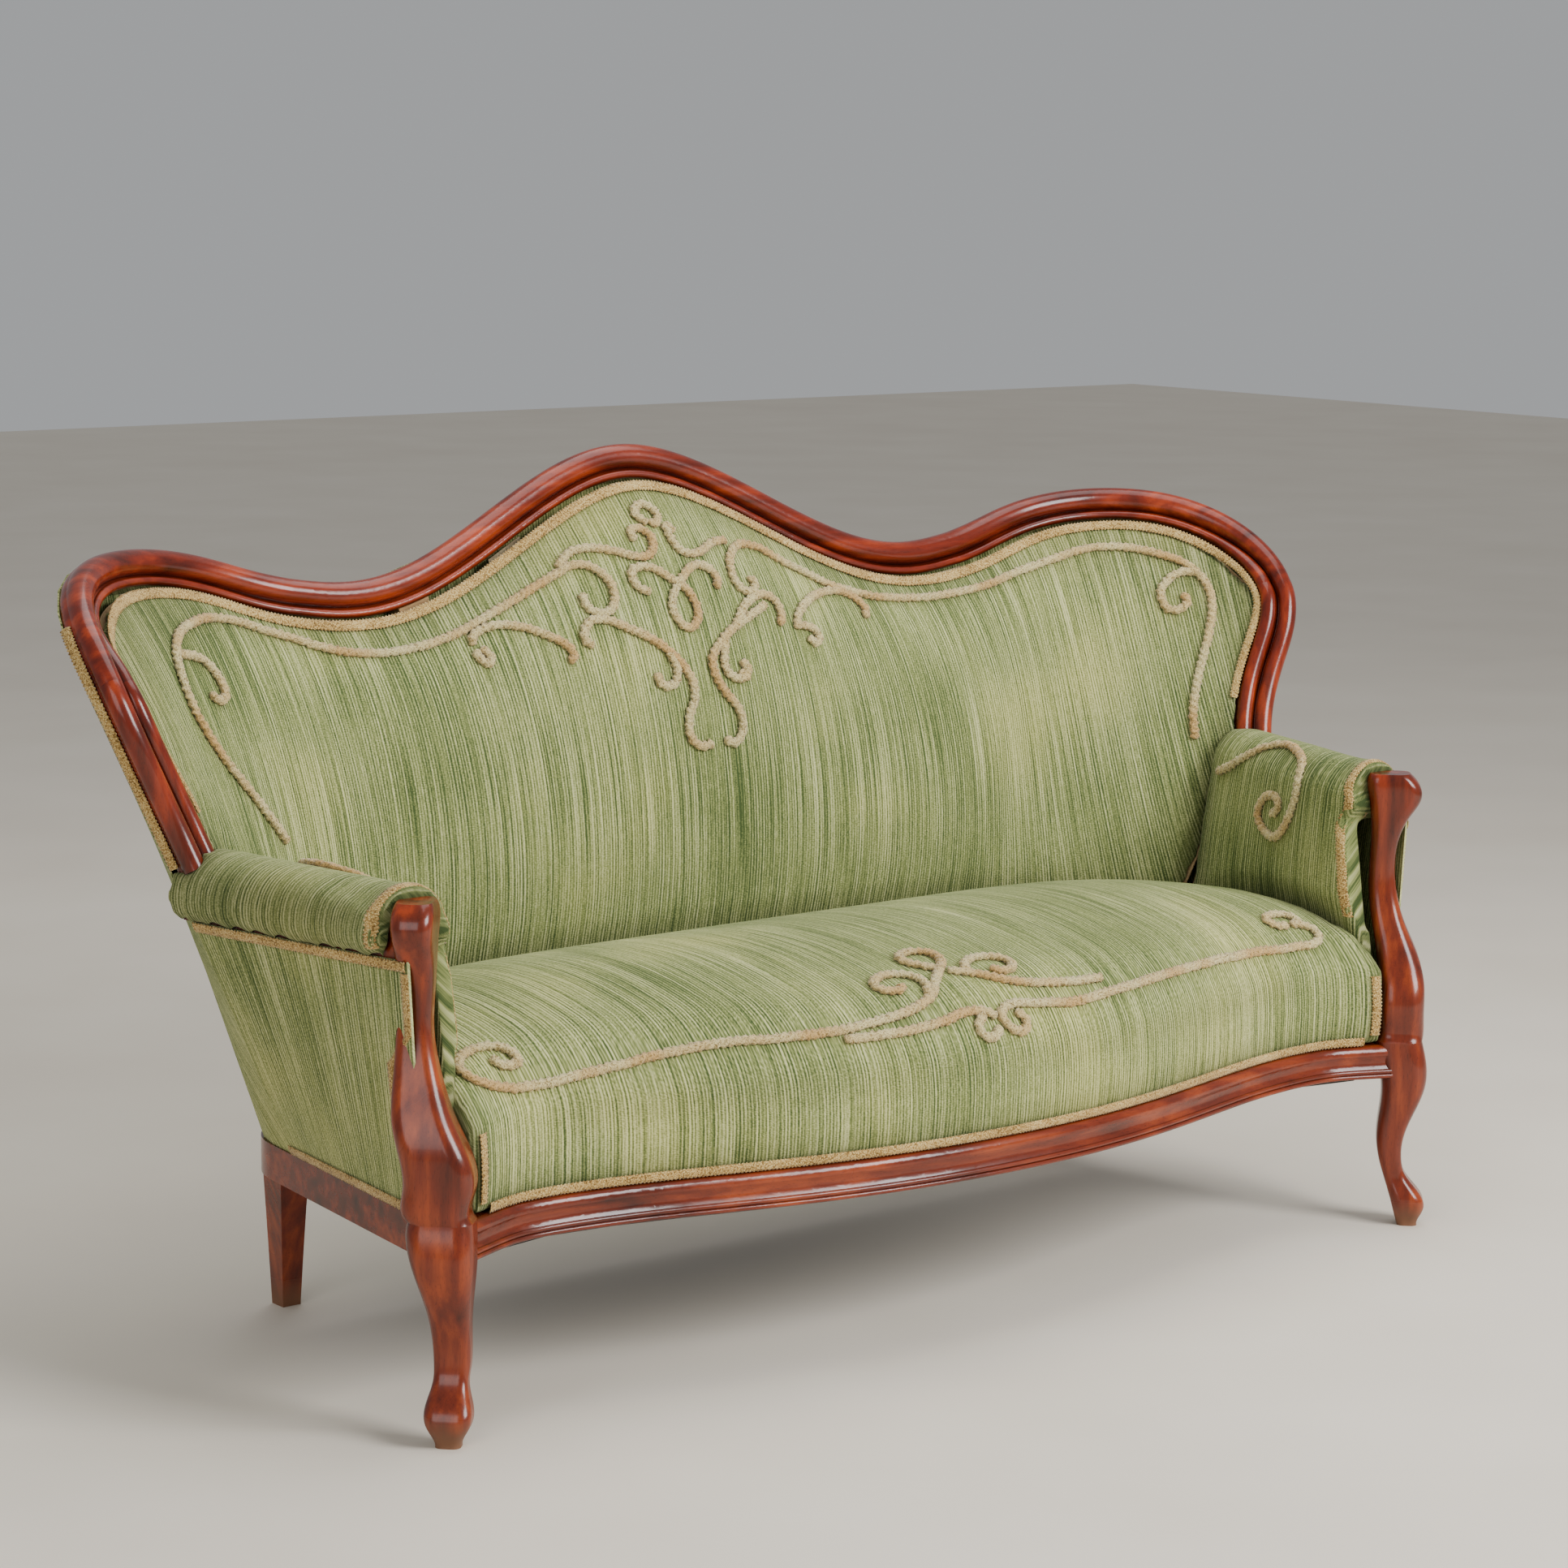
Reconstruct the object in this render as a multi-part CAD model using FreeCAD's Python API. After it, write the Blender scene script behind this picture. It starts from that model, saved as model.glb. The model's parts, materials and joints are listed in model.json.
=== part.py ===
import FreeCAD, Part
import math
import os

# Cabriole sofa with a serpentine show-wood back, sprung seat and padded arms.
# Millimetres. +X to the right as seen from the front, the front faces -Y, +Z up.
# The origin is on the floor under the middle of the whole sofa.

# Back outline, outer edge of the show wood, one half
crest_height = 1087.0
crest_handle = 160.0
dip_x = 480.0
dip_height = 927.0
dip_handle = 155.0
shoulder_x = 865.0
shoulder_height = 990.0
shoulder_handle_in = 186.0
shoulder_handle_out = 121.0
side_x = 1015.0
side_height = 889.0
side_handle_up = 57.0
side_handle_down = 86.0
arm_end_x = 927.0
arm_end_height = 631.0
arm_end_handle = 112.0
arm_end_lean = 0.28
crest_joint_at = 1.24
post_joint_at = 3.12

# Back surface: a straight middle and round ends, leaning back and flaring out
back_foot_y = 97.0
back_rake = 0.30
tub_radius = 463.0
tub_start_x = 520.0
tub_flare = 0.333

# Show wood of the back
wood_width = 48.0
wood_back = 14.0
wood_crown = 27.0
wood_groove = 13.0
wood_outer_corner = 9.0
bead_width = 12.0
bead_rise = 22.0
post_bead_width = 24.0
post_bead_rise = 26.0
bead_turn_from = 2.4
bead_turn_to = 3.4
bead_root = 16.0
post_turn_from = 2.3
post_turn_to = 3.3
post_turn_share = 0.6
rail_section_steps = 6

# Seat frame
seat_rail_top = 264.0
seat_rail_height = 46.0
seat_rail_thickness = 38.0
bow_front_y = -436.0
bow_handle = 330.0
hollow_x = 670.0
hollow_y = -330.0
hollow_handle_in = 200.0
hollow_handle_out = 45.0
rail_end_x = 800.0
rail_end_y = -372.0
rail_end_handle = 40.0
side_front_x = 827.0
side_front_y = -294.0
side_corner_x = 767.0
rear_rail_y = 200.0
rear_corner_radius = 121.0

# Front legs and arm posts, both set on the diagonal of the corner
toe_x = 825.0
toe_y = -371.0
post_joint_height = 268.0
leg_corner_share = 0.34

# Rear legs
rear_leg_top_x = 712.0
rear_leg_top_y = 165.0
rear_leg_top_width = 44.0
rear_leg_foot_x = 665.0
rear_leg_foot_y = 243.0
rear_leg_foot_width = 27.0

# Arms
arm_front_y = -272.0
arm_seam_y = 60.0
arm_panel_back_y = 30.0
arm_panel_top = 575.0
arm_panel_front_top_x = 858.0
arm_panel_back_top_x = 924.0
panel_setback = 3.0
panel_thickness = 3.0
arm_rail_height = 36.0
arm_rail_width = 36.0
arm_rail_front_y = -310.0
arm_top = 661.0
arm_overhang = 15.0
arm_roll_width = 113.0
arm_pad_reach_front = 108.0
arm_pad_reach_back = 122.0
arm_pad_foot = 28.0
arm_pad_thickness = 34.0
arm_seat_level = 470.0
arm_end_round = 12.0

# Seat upholstery
seat_setback = 9.0
seat_edge_height = 369.0
seat_nose_depth = 27.0
seat_nose_height = 412.0
seat_roll_depth = 112.0
seat_roll_height = 460.0
seat_crown_depth = 255.0
seat_crown_height = 482.0
seat_back_height = 430.0
seat_end_drop = 42.0
seat_half_front = 780.0
seat_rear_reach = 1.5
seat_border_bulge = 5.0
seat_back_gap = 1.5

# Back upholstery
back_pad_bottom = 400.0
back_pad_foot = 25.0
back_pad_rim = 30.0
back_pad_side_rim = 41.0
back_pad_crown = 115.0
back_pad_side_crown = 44.0
back_pad_frame_gap = 3.0
back_pad_side_place = 1.61
rim_turn_place = 1.51
rim_fall = 600.0

# Cloths, webbing and springs
cover_thickness = 2.0
hessian_thickness = 1.5
webbing_width = 50.0
webbing_thickness = 1.5
spring_radius = 46.0
spring_waist_radius = 30.0
spring_wall = 1.0
spring_top = 351.7
spring_columns = (-520.0, -390.0, -130.0, 0.0, 130.0, 390.0, 520.0)
spring_rows = (-262.0, -110.0, 45.0)
seat_webbing_columns = 13
seat_webbing_pitch = 96.0
seat_webbing_row_positions = (-260.0, -185.0, -110.0, -35.0, 40.0)
back_webbing_places = (-1.28, -0.92, -0.36, 0.0, 0.36, 0.92, 1.28)
cavity_half_width = 620.0
cavity_side_y = 66.0
cavity_shoulder_x = 430.0
soft_clearance = 0.3

# Inner timber
stile_x = 330.0
stile_width = 45.0
back_timber_front = 12.0
cross_rail_top = 425.0
cross_rail_height = 45.0
back_side_rail_end = 1.5
upright_y = 50.0
upright_depth = 38.0
upright_width = 30.0
upright_setback = 7.0
upright_joint_inset = 16.0
upright_joint_width = 24.0
upright_joint_depth = 9.0
brace_x = 260.0
brace_width = 32.0
brace_height = 34.0
corner_block_leg = 95.0
corner_block_height = 38.0
screw_radius = 2.2
screw_head_radius = 4.2
screw_head_height = 3.0
screw_length = 44.0
dowel_radius = 4.0
dowel_length = 44.0
dowel_fit = 0.05
dowel_spacing = 20.0

# Trims
gimp_width = 13.0
gimp_thickness = 2.0
gimp_gap = 0.6
gimp_wood_gap = 2.0
gimp_end_place = 3.84
post_gimp_start_place = 2.6
arm_gimp_setback = 13.0
corner_gimp_share = 0.984
corner_gimp_top = 366.0
cord_width = 12.0
cord_crest = 5.0
cord_height = 7.0
cord_gap = 0.6
cord_step = 9.0

# Chenille scrolls on the back: place along the columns and height
back_scrolls_left = (
    ((-1.33, 685.0), (-1.37, 740.0), (-1.385, 790.0), (-1.37, 835.0), (-1.335, 871.0), (-1.29, 892.0),
     (-1.24, 901.0), (-1.18, 905.0), (-1.12, 898.0), (-1.04, 876.0), (-0.92, 849.0), (-0.78, 842.0),
     (-0.62, 856.0), (-0.45, 891.0), (-0.3, 927.0), (-0.25, 938.0), (-0.208, 934.0), (-0.182, 914.0),
     (-0.194, 887.0), (-0.232, 875.0), (-0.266, 884.0), (-0.262, 904.0)),
    ((-1.312, 868.0), (-1.285, 866.0), (-1.263, 854.0), (-1.256, 836.0), (-1.264, 818.0), (-1.288, 809.0),
     (-1.31, 822.0)),
    ((-0.58, 846.0), (-0.547, 860.0), (-0.495, 867.0), (-0.446, 864.0), (-0.398, 853.0), (-0.355, 838.0),
     (-0.35, 822.0), (-0.372, 818.0)),
)
back_scrolls_centre = (
    ((-0.275, 946.0), (-0.236, 955.0), (-0.177, 958.0), (-0.13, 952.0), (-0.08, 944.0), (-0.045, 950.0),
     (-0.03, 968.0), (-0.055, 982.0), (-0.08, 976.0)),
    ((-0.045, 1000.0), (-0.012, 1010.0), (0.01, 995.0), (-0.012, 982.0)),
    ((-0.086, 898.0), (-0.118, 906.0), (-0.122, 924.0), (-0.098, 932.0), (-0.061, 930.0), (-0.03, 917.0),
     (0.0, 906.0), (0.02, 888.0), (0.022, 866.0), (0.003, 852.0), (-0.024, 850.0), (-0.043, 864.0),
     (-0.043, 884.0)),
    ((0.018, 914.0), (0.044, 928.0), (0.08, 928.0), (0.104, 918.0), (0.106, 902.0)),
    ((-0.3, 838.0), (-0.302, 852.0), (-0.271, 867.0), (-0.229, 867.0), (-0.187, 856.0), (-0.138, 842.0),
     (-0.095, 824.0), (-0.06, 801.0), (-0.043, 778.0), (-0.049, 756.0), (-0.073, 735.0), (-0.082, 709.0),
     (-0.054, 693.0), (-0.01, 696.0)),
    ((-0.082, 800.0), (-0.09, 783.0), (-0.12, 775.0), (-0.146, 786.0)),
    ((0.238, 871.0), (0.176, 858.0), (0.107, 842.0), (0.06, 825.0), (0.029, 807.0), (0.027, 788.0),
     (0.046, 765.0), (0.076, 744.0), (0.091, 721.0), (0.077, 699.0), (0.045, 692.0)),
    ((0.066, 808.0), (0.065, 789.0), (0.09, 778.0), (0.128, 780.0), (0.128, 797.0)),
)
back_scrolls_right = (
    ((0.222, 903.0), (0.206, 888.0), (0.172, 894.0), (0.158, 914.0), (0.176, 938.0), (0.222, 950.0),
     (0.284, 942.0), (0.341, 923.0), (0.41, 904.0), (0.48, 885.0), (0.555, 872.0), (0.65, 860.0),
     (0.777, 854.0), (0.89, 856.0), (1.0, 864.0), (1.08, 880.0), (1.17, 897.0), (1.22, 907.0),
     (1.28, 912.0), (1.34, 910.0), (1.395, 902.0), (1.445, 891.0), (1.476, 876.0), (1.5, 857.0),
     (1.512, 830.0), (1.509, 790.0), (1.495, 740.0), (1.487, 700.0), (1.49, 660.0)),
    ((1.452, 874.0), (1.425, 869.0), (1.406, 850.0), (1.416, 828.0), (1.445, 822.0), (1.456, 838.0)),
    ((0.02, 1006.0), (0.04, 990.0), (0.03, 970.0), (0.048, 948.0), (0.085, 945.0), (0.133, 956.0),
     (0.18, 960.0)),
    ((0.115, 847.0), (0.17, 873.0), (0.231, 884.0), (0.27, 872.0), (0.28, 850.0)),
    ((0.316, 835.0), (0.334, 854.0), (0.402, 873.0), (0.488, 870.0), (0.545, 858.0), (0.565, 840.0)),
)

# Chenille on the seat: distance from the middle and depth
seat_scrolls = (
    ((-659.0, -270.0), (-675.0, -252.0), (-705.0, -250.0), (-735.0, -262.0), (-747.0, -281.0),
     (-738.0, -298.0), (-700.0, -303.0), (-653.0, -303.0), (-599.0, -305.0), (-500.0, -316.0),
     (-404.0, -335.0), (-322.0, -357.0), (-241.0, -373.0), (-172.0, -378.0), (-120.0, -376.0),
     (-81.0, -365.0), (-60.0, -347.0), (-33.0, -324.0), (-8.0, -300.0), (-4.0, -275.0), (-22.0, -262.0),
     (-50.0, -268.0), (-58.0, -285.0)),
    ((-85.0, -345.0), (-78.0, -330.0), (-95.0, -315.0), (-122.0, -313.0), (-145.0, -325.0),
     (-140.0, -343.0), (-118.0, -345.0)),
    ((-205.0, -388.0), (-146.0, -395.0), (-90.0, -396.0), (-50.0, -392.0), (-16.0, -393.0)),
    ((708.0, -262.0), (690.0, -243.0), (662.0, -240.0), (642.0, -252.0)),
    ((690.0, -277.0), (706.0, -283.0), (690.0, -294.0), (653.0, -293.0), (577.0, -299.0), (490.0, -315.0),
     (399.0, -339.0), (310.0, -362.0), (234.0, -379.0), (145.0, -393.0), (83.0, -393.0), (30.0, -391.0)),
    ((215.0, -367.0), (155.0, -370.0), (94.0, -367.0), (54.0, -360.0), (29.0, -348.0), (10.0, -333.0),
     (18.0, -314.0), (45.0, -305.0), (74.0, -309.0), (86.0, -328.0), (70.0, -340.0)),
)

# Chenille on the right arm: depth and height, the inner face first counted from its top edge
arm_scroll = (
    (-42.0, 639.0), (-65.0, 647.0), (-91.0, 651.0), (-120.0, 650.0), (-143.0, 645.0), (-163.0, 635.0),
    (-176.0, 618.0), (-182.0, 600.0), (-180.0, 580.0), (-174.0, 560.0), (-160.0, 540.0), (-140.0, 530.0),
    (-115.0, 538.0), (-105.0, 556.0), (-110.0, 577.0), (-130.0, 588.0), (-145.0, 577.0),
)


def vec(x, y, z):
    return FreeCAD.Vector(x, y, z)


def along(start, end, share):
    return start + (end - start) * share


def mirrored(shape):
    return shape.mirror(vec(0, 0, 0), vec(1, 0, 0))


def closed_wire(edges):
    return Part.Wire(Part.__sortEdges__(edges))


def line(start, end):
    return Part.LineSegment(start, end).toShape()


def arc(start, middle, end):
    return Part.Arc(start, middle, end).toShape()


def lines(points):
    return [line(start, end) for start, end in zip(points, points[1:]) if start.distanceToPoint(end) > 1e-6]


def polygon(points):
    return Part.makePolygon(list(points) + [points[0]])


def loft(wires, ruled=False):
    return Part.makeLoft(wires, True, ruled)


def prism(points, height):
    return Part.Face(polygon(points)).extrude(vec(0, 0, height))


def joined(shapes):
    return Part.makeCompound(shapes)


def bezier(points, share):
    rest = 1.0 - share
    weights = (rest ** 3, 3 * rest ** 2 * share, 3 * rest * share ** 2, share ** 3)
    return tuple(sum(w * p[i] for w, p in zip(weights, points)) for i in range(len(points[0])))


# The half outline as four curves: crest to dip, dip to shoulder, shoulder to side, side to arm
outline_curves = (
    ((0.0, crest_height), (crest_handle, crest_height),
     (dip_x - crest_handle, dip_height), (dip_x, dip_height)),
    ((dip_x, dip_height), (dip_x + dip_handle, dip_height),
     (shoulder_x - shoulder_handle_in, shoulder_height), (shoulder_x, shoulder_height)),
    ((shoulder_x, shoulder_height), (shoulder_x + shoulder_handle_out, shoulder_height),
     (side_x, side_height + side_handle_up), (side_x, side_height)),
    ((side_x, side_height), (side_x, side_height - side_handle_down),
     (arm_end_x + arm_end_lean * arm_end_handle, arm_end_height + arm_end_handle),
     (arm_end_x, arm_end_height)),
)


def outline_point(place):
    # place runs from 0 at the crest to 4 at the arm, negative on the other half
    size = abs(place)
    number = min(int(size), len(outline_curves) - 1)
    x, z = bezier(outline_curves[number], size - number)
    return (math.copysign(x, place) if place else 0.0), z


def tub_start(z):
    return tub_start_x + tub_flare * (z - arm_end_height)


def back_line_y(z):
    return back_foot_y + back_rake * z


def back_surface(x, z):
    reach = min(max(abs(x) - tub_start(z), 0.0), 0.985 * tub_radius)
    return vec(x, back_line_y(z) - tub_radius + math.sqrt(tub_radius ** 2 - reach ** 2), z)


def smooth_step(value, start, end):
    share = min(max((value - start) / (end - start), 0.0), 1.0)
    return share * share * (3.0 - 2.0 * share)


def outline_frame(place):
    # Origin, inward direction and forward direction of the show wood at a place of the outline
    step = 0.002
    x, z = outline_point(place)
    origin = back_surface(x, z)
    low = min(max(place - step, -4.0), 4.0 - 2 * step)
    before = back_surface(*outline_point(low))
    after = back_surface(*outline_point(low + 2 * step))
    run = (after - before).normalize()
    side = back_surface(x + 1.0, z) - back_surface(x - 1.0, z)
    rise = back_surface(x, z + 1.0) - back_surface(x, z - 1.0)
    square = side.cross(rise).normalize()
    # The posts stay turned towards the front while the back wraps round
    turn = post_turn_share * smooth_step(abs(place), post_turn_from, post_turn_to)
    straight = vec(0, -1.0, back_rake).normalize()
    forward = square * (1.0 - turn) + straight * turn
    inward = run.cross(forward).normalize()
    forward = inward.cross(run).normalize()
    return origin, inward, forward


def frame_point(place, inward_by, forward_by):
    origin, inward, forward = outline_frame(place)
    return origin + inward * inward_by + forward * forward_by


def show_wood_section(place, grow=0.0):
    # A broad round outer torus, a groove and an inner bead that widens down the posts
    turn = smooth_step(abs(place), bead_turn_from, bead_turn_to)
    bead = along(bead_width, post_bead_width, turn)
    rise = along(bead_rise, post_bead_rise, turn)
    bead_start = wood_width - bead
    torus_end = bead_start - 3.0

    def at(inward_by, forward_by):
        return frame_point(place, inward_by, forward_by)

    outer = at(-grow, 0.0)
    valley = at(torus_end, wood_groove + grow)
    foot = at(bead_start, bead_root + grow)
    bead_end = at(wood_width + grow, bead_root)
    inner = at(wood_width + grow, -wood_back - grow)
    rear = at(wood_outer_corner, -wood_back - grow)
    return closed_wire([
        arc(outer, at(torus_end * 0.42, wood_crown + grow), valley),
        line(valley, foot),
        arc(foot, at(wood_width - bead / 2.0, rise + grow), bead_end),
        line(bead_end, inner),
        line(inner, rear),
        arc(rear, at(wood_outer_corner * 0.2 - grow, -wood_back * 0.55), outer),
    ])


def places(start, end, steps):
    return [start + (end - start) * i / steps for i in range(steps + 1)]


def show_wood(start, end, steps, grow=0.0):
    return loft([show_wood_section(place, grow) for place in places(start, end, steps)])


def dowel(centre, direction, length=dowel_length, radius=dowel_radius):
    return Part.makeCylinder(radius, length, centre - direction * (length / 2.0), direction)


dowels = []
dowel_holes = []


def add_dowel(centre, direction, both_sides=True):
    # Each pin is kept with its hole, on both halves of the sofa or in the middle only
    pin = dowel(centre, direction)
    hole = dowel(centre, direction, dowel_length + 1.0, dowel_radius + dowel_fit)
    dowels.append(pin)
    dowel_holes.append(hole)
    if both_sides:
        dowels.append(mirrored(pin))
        dowel_holes.append(mirrored(hole))


def joint_direction(place):
    step = 0.002
    return (frame_point(place + step, 0, 0) - frame_point(place - step, 0, 0)).normalize()


def main_solid(shape):
    # A cut can leave crumbs; the piece is the largest solid
    return max(shape.Solids, key=lambda solid: solid.Volume)


crest_rail = show_wood(-crest_joint_at, crest_joint_at, 3 * rail_section_steps)
shoulder_right = show_wood(crest_joint_at, post_joint_at, 2 * rail_section_steps)
back_post_right = show_wood(post_joint_at, 4.0, rail_section_steps)
for joint_place in (crest_joint_at, post_joint_at):
    for width_share in (0.3, 0.72):
        add_dowel(frame_point(joint_place, wood_width * width_share, 0.0), joint_direction(joint_place))


# Front legs and arm posts: stations of height, reach out along the corner's diagonal,
# sweep back across it, depth along it and width across it
leg_stations = (
    (0.0, -3.0, 0.0, 28.0, 31.0),
    (14.0, -3.0, 0.0, 36.0, 40.0),
    (32.0, -3.0, 0.0, 46.0, 56.0),
    (55.0, -13.0, 1.0, 40.0, 51.0),
    (88.0, -28.0, 0.0, 31.0, 43.0),
    (125.0, -31.0, 1.0, 38.0, 46.0),
    (170.0, -21.0, 3.0, 52.0, 56.0),
    (222.0, -15.0, 8.0, 66.0, 76.0),
    (post_joint_height, -24.0, 11.0, 68.0, 78.0),
)
post_stations = (
    (post_joint_height, -24.0, 11.0, 68.0, 78.0),
    (305.0, -22.0, 14.0, 66.0, 84.0),
    (345.0, -22.0, 18.0, 65.0, 84.0),
    (385.0, -28.0, 33.0, 58.0, 74.0),
    (430.0, -42.0, 43.0, 46.0, 57.0),
    (485.0, -52.0, 48.0, 38.0, 43.0),
    (540.0, -51.0, 46.0, 37.0, 43.0),
    (580.0, -44.0, 45.0, 54.0, 46.0),
    (608.0, -38.0, 45.0, 74.0, 49.0),
    (630.0, -42.0, 45.0, 72.0, 50.0),
    (643.0, -46.0, 45.0, 56.0, 42.0),
)


half = math.sqrt(0.5)
outward = vec(half, -half, 0)
across = vec(half, half, 0)


def corner_centre(station):
    height, reach, sweep, depth, width = station
    return vec(toe_x, toe_y, height) + outward * reach + across * sweep


def corner_section(station, grow=0.0):
    height, reach, sweep, depth, width = station
    centre = corner_centre(station)
    hd = depth / 2.0 + grow
    hw = width / 2.0 + grow
    r = leg_corner_share * min(depth, width) + grow
    cut = r * (1.0 - half)
    edges = []
    turns = ((1, 1), (-1, 1), (-1, -1), (1, -1))
    ends = []
    for a, b in turns:
        on_depth = centre + outward * (a * hd) + across * (b * (hw - r))
        on_width = centre + outward * (a * (hd - r)) + across * (b * hw)
        middle = centre + outward * (a * (hd - cut)) + across * (b * (hw - cut))
        if a * b > 0:
            ends.append((on_depth, middle, on_width))
        else:
            ends.append((on_width, middle, on_depth))
    for number, (start, middle, end) in enumerate(ends):
        edges.append(arc(start, middle, end))
        edges.append(line(end, ends[(number + 1) % 4][0]))
    return closed_wire(edges)


def corner_loft(stations, grow=0.0):
    return loft([corner_section(station, grow) for station in stations])


front_leg_right = corner_loft(leg_stations)
arm_post_right = corner_loft(post_stations)
corner_room_right = joined([corner_loft(leg_stations, soft_clearance),
                            corner_loft(post_stations, soft_clearance)])
add_dowel(corner_centre(post_stations[0]), vec(0, 0, 1))


# Seat frame
rail_curves = (
    ((0.0, bow_front_y), (bow_handle, bow_front_y),
     (hollow_x - hollow_handle_in, hollow_y), (hollow_x, hollow_y)),
    ((hollow_x, hollow_y), (hollow_x + hollow_handle_out, hollow_y),
     (rail_end_x - rail_end_handle, rail_end_y + rail_end_handle / 3.0), (rail_end_x, rail_end_y)),
)


def rail_line(place):
    size = abs(place)
    number = min(int(size), len(rail_curves) - 1)
    x, y = bezier(rail_curves[number], size - number)
    return vec(math.copysign(x, place) if place else 0.0, y, 0)


def front_line_y(x):
    # The front rail's outer face at a distance from the middle
    low = 0.0
    high = 2.0
    for _ in range(40):
        middle = (low + high) / 2.0
        if rail_line(middle).x < abs(x):
            low = middle
        else:
            high = middle
    return rail_line(low).y


def front_rail_section(place):
    step = 0.002
    low = min(max(place - step, -2.0), 2.0 - 2 * step)
    run = (rail_line(low + 2 * step) - rail_line(low)).normalize()
    out = vec(run.y, -run.x, 0)
    base = rail_line(place)
    top = seat_rail_top
    bottom = seat_rail_top - seat_rail_height

    def at(out_by, height):
        return base + out * out_by + vec(0, 0, height)

    return closed_wire([
        line(at(-seat_rail_thickness, bottom), at(-seat_rail_thickness, top)),
        line(at(-seat_rail_thickness, top), at(-seat_setback, top)),
        arc(at(-seat_setback, top), at(-2.0, top - 5.0), at(0.0, top - 14.0)),
        arc(at(0.0, top - 14.0), at(-3.0, top - 24.0), at(0.0, bottom + 13.0)),
        arc(at(0.0, bottom + 13.0), at(4.0, bottom + 10.0), at(2.0, bottom + 6.5)),
        arc(at(2.0, bottom + 6.5), at(4.5, bottom + 3.5), at(0.0, bottom)),
        line(at(0.0, bottom), at(-seat_rail_thickness, bottom)),
    ])


front_rail = loft([front_rail_section(place) for place in places(-2.0, 2.0, 20)])


def side_line(offset):
    # Side rail face moved inwards by an offset: start, corner and run of the straight part
    start = vec(side_front_x, side_front_y, 0)
    corner = vec(side_corner_x, rear_rail_y, 0)
    run = (corner - start).normalize()
    inward = vec(-run.y, run.x, 0)
    start = start + inward * offset
    rear = rear_rail_y - offset
    corner = start + run * ((rear - start.y) / run.y)
    return start, corner, run


def side_rail_solid():
    edges = []
    ends = []
    for offset in (0.0, seat_rail_thickness):
        start, corner, run = side_line(offset)
        radius = rear_corner_radius - offset
        turn = math.acos(max(-1.0, min(1.0, run.dot(vec(-1, 0, 0)))))
        tangent = radius * math.tan(turn / 2.0)
        arc_start = corner - run * tangent
        arc_end = corner + vec(-tangent, 0, 0)
        bisector = (vec(-1, 0, 0) - run).normalize()
        middle = corner + bisector * (radius / math.cos(turn / 2.0) - radius)
        ahead = start - run * seat_rail_thickness
        edges.append(line(ahead, arc_start))
        edges.append(arc(arc_start, middle, arc_end))
        ends.append((ahead, arc_end))
    joint_x = min(ends[0][1].x, ends[1][1].x)
    for _, arc_end in ends:
        if arc_end.x > joint_x + 1e-6:
            edges.append(line(arc_end, vec(joint_x, arc_end.y, 0)))
    edges.append(line(ends[0][0], ends[1][0]))
    edges.append(line(vec(joint_x, ends[0][1].y, 0), vec(joint_x, ends[1][1].y, 0)))
    face = Part.Face(closed_wire(edges))
    solid = face.extrude(vec(0, 0, seat_rail_height))
    solid.translate(vec(0, 0, seat_rail_top - seat_rail_height))
    return solid, joint_x


side_rail_right, rear_joint_x = side_rail_solid()
rail_bottom = seat_rail_top - seat_rail_height
rail_middle = (seat_rail_top + rail_bottom) / 2.0
rear_rail_inner_y = rear_rail_y - seat_rail_thickness
rear_rail = Part.makeBox(2 * rear_joint_x, seat_rail_thickness, seat_rail_height,
                         vec(-rear_joint_x, rear_rail_inner_y, rail_bottom))
corners = joined([front_leg_right, arm_post_right, mirrored(front_leg_right), mirrored(arm_post_right)])
front_rail = main_solid(front_rail.cut(corners))
side_rail_right = main_solid(side_rail_right.cut(joined([front_leg_right, arm_post_right])).cut(front_rail))


def side_x(y, offset=0.0):
    # Side rail face at a depth, moved inwards by an offset
    start, corner, run = side_line(offset)
    return start.x + run.x * (y - start.y) / run.y


def square_section(x, y, z, width):
    half = width / 2.0
    return polygon([vec(x - half, y - half, z), vec(x + half, y - half, z),
                    vec(x + half, y + half, z), vec(x - half, y + half, z)])


def rear_leg():
    sections = []
    for share in (0.0, 0.35, 0.7, 1.0):
        bend = share ** 1.6
        sections.append(square_section(
            along(rear_leg_foot_x, rear_leg_top_x, bend),
            along(rear_leg_foot_y, rear_leg_top_y, bend),
            along(0.0, rail_bottom, share),
            along(rear_leg_foot_width, rear_leg_top_width, share)))
    return loft(sections)


rear_leg_right = rear_leg()
add_dowel(vec(rear_leg_top_x, rear_leg_top_y, rail_bottom), vec(0, 0, 1))
for level in (rail_middle - dowel_spacing / 2.0, rail_middle + dowel_spacing / 2.0):
    add_dowel(vec(rear_joint_x, rear_rail_y - seat_rail_thickness / 2.0, level), vec(1, 0, 0))


# Columns of the back: straight lines on its surface, each with its own forward direction
def column(place):
    # place runs from 0 at the middle to 1 where the ends start to turn, then 1 + angle in turns
    size = abs(place)
    side = -1.0 if place < 0 else 1.0
    spread = min(size, 1.0)
    angle = math.radians(max(size - 1.0, 0.0) * 100.0)

    def point(z, forward_by=0.0):
        reach = tub_radius * math.sin(angle) if angle else 0.0
        drop = tub_radius * (1.0 - math.cos(angle))
        x = spread * tub_start(z) + reach - forward_by * math.sin(angle)
        y = back_line_y(z) - drop - forward_by * math.cos(angle)
        return vec(side * x, y, z)
    return point


def outline_offset(inward_by):
    # The outline moved inwards, as points from crest to arm
    points = []
    for place in places(0.0, 4.0, 120):
        point = frame_point(place, inward_by, 0.0)
        points.append((point.x, point.z))
    return points


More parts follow.
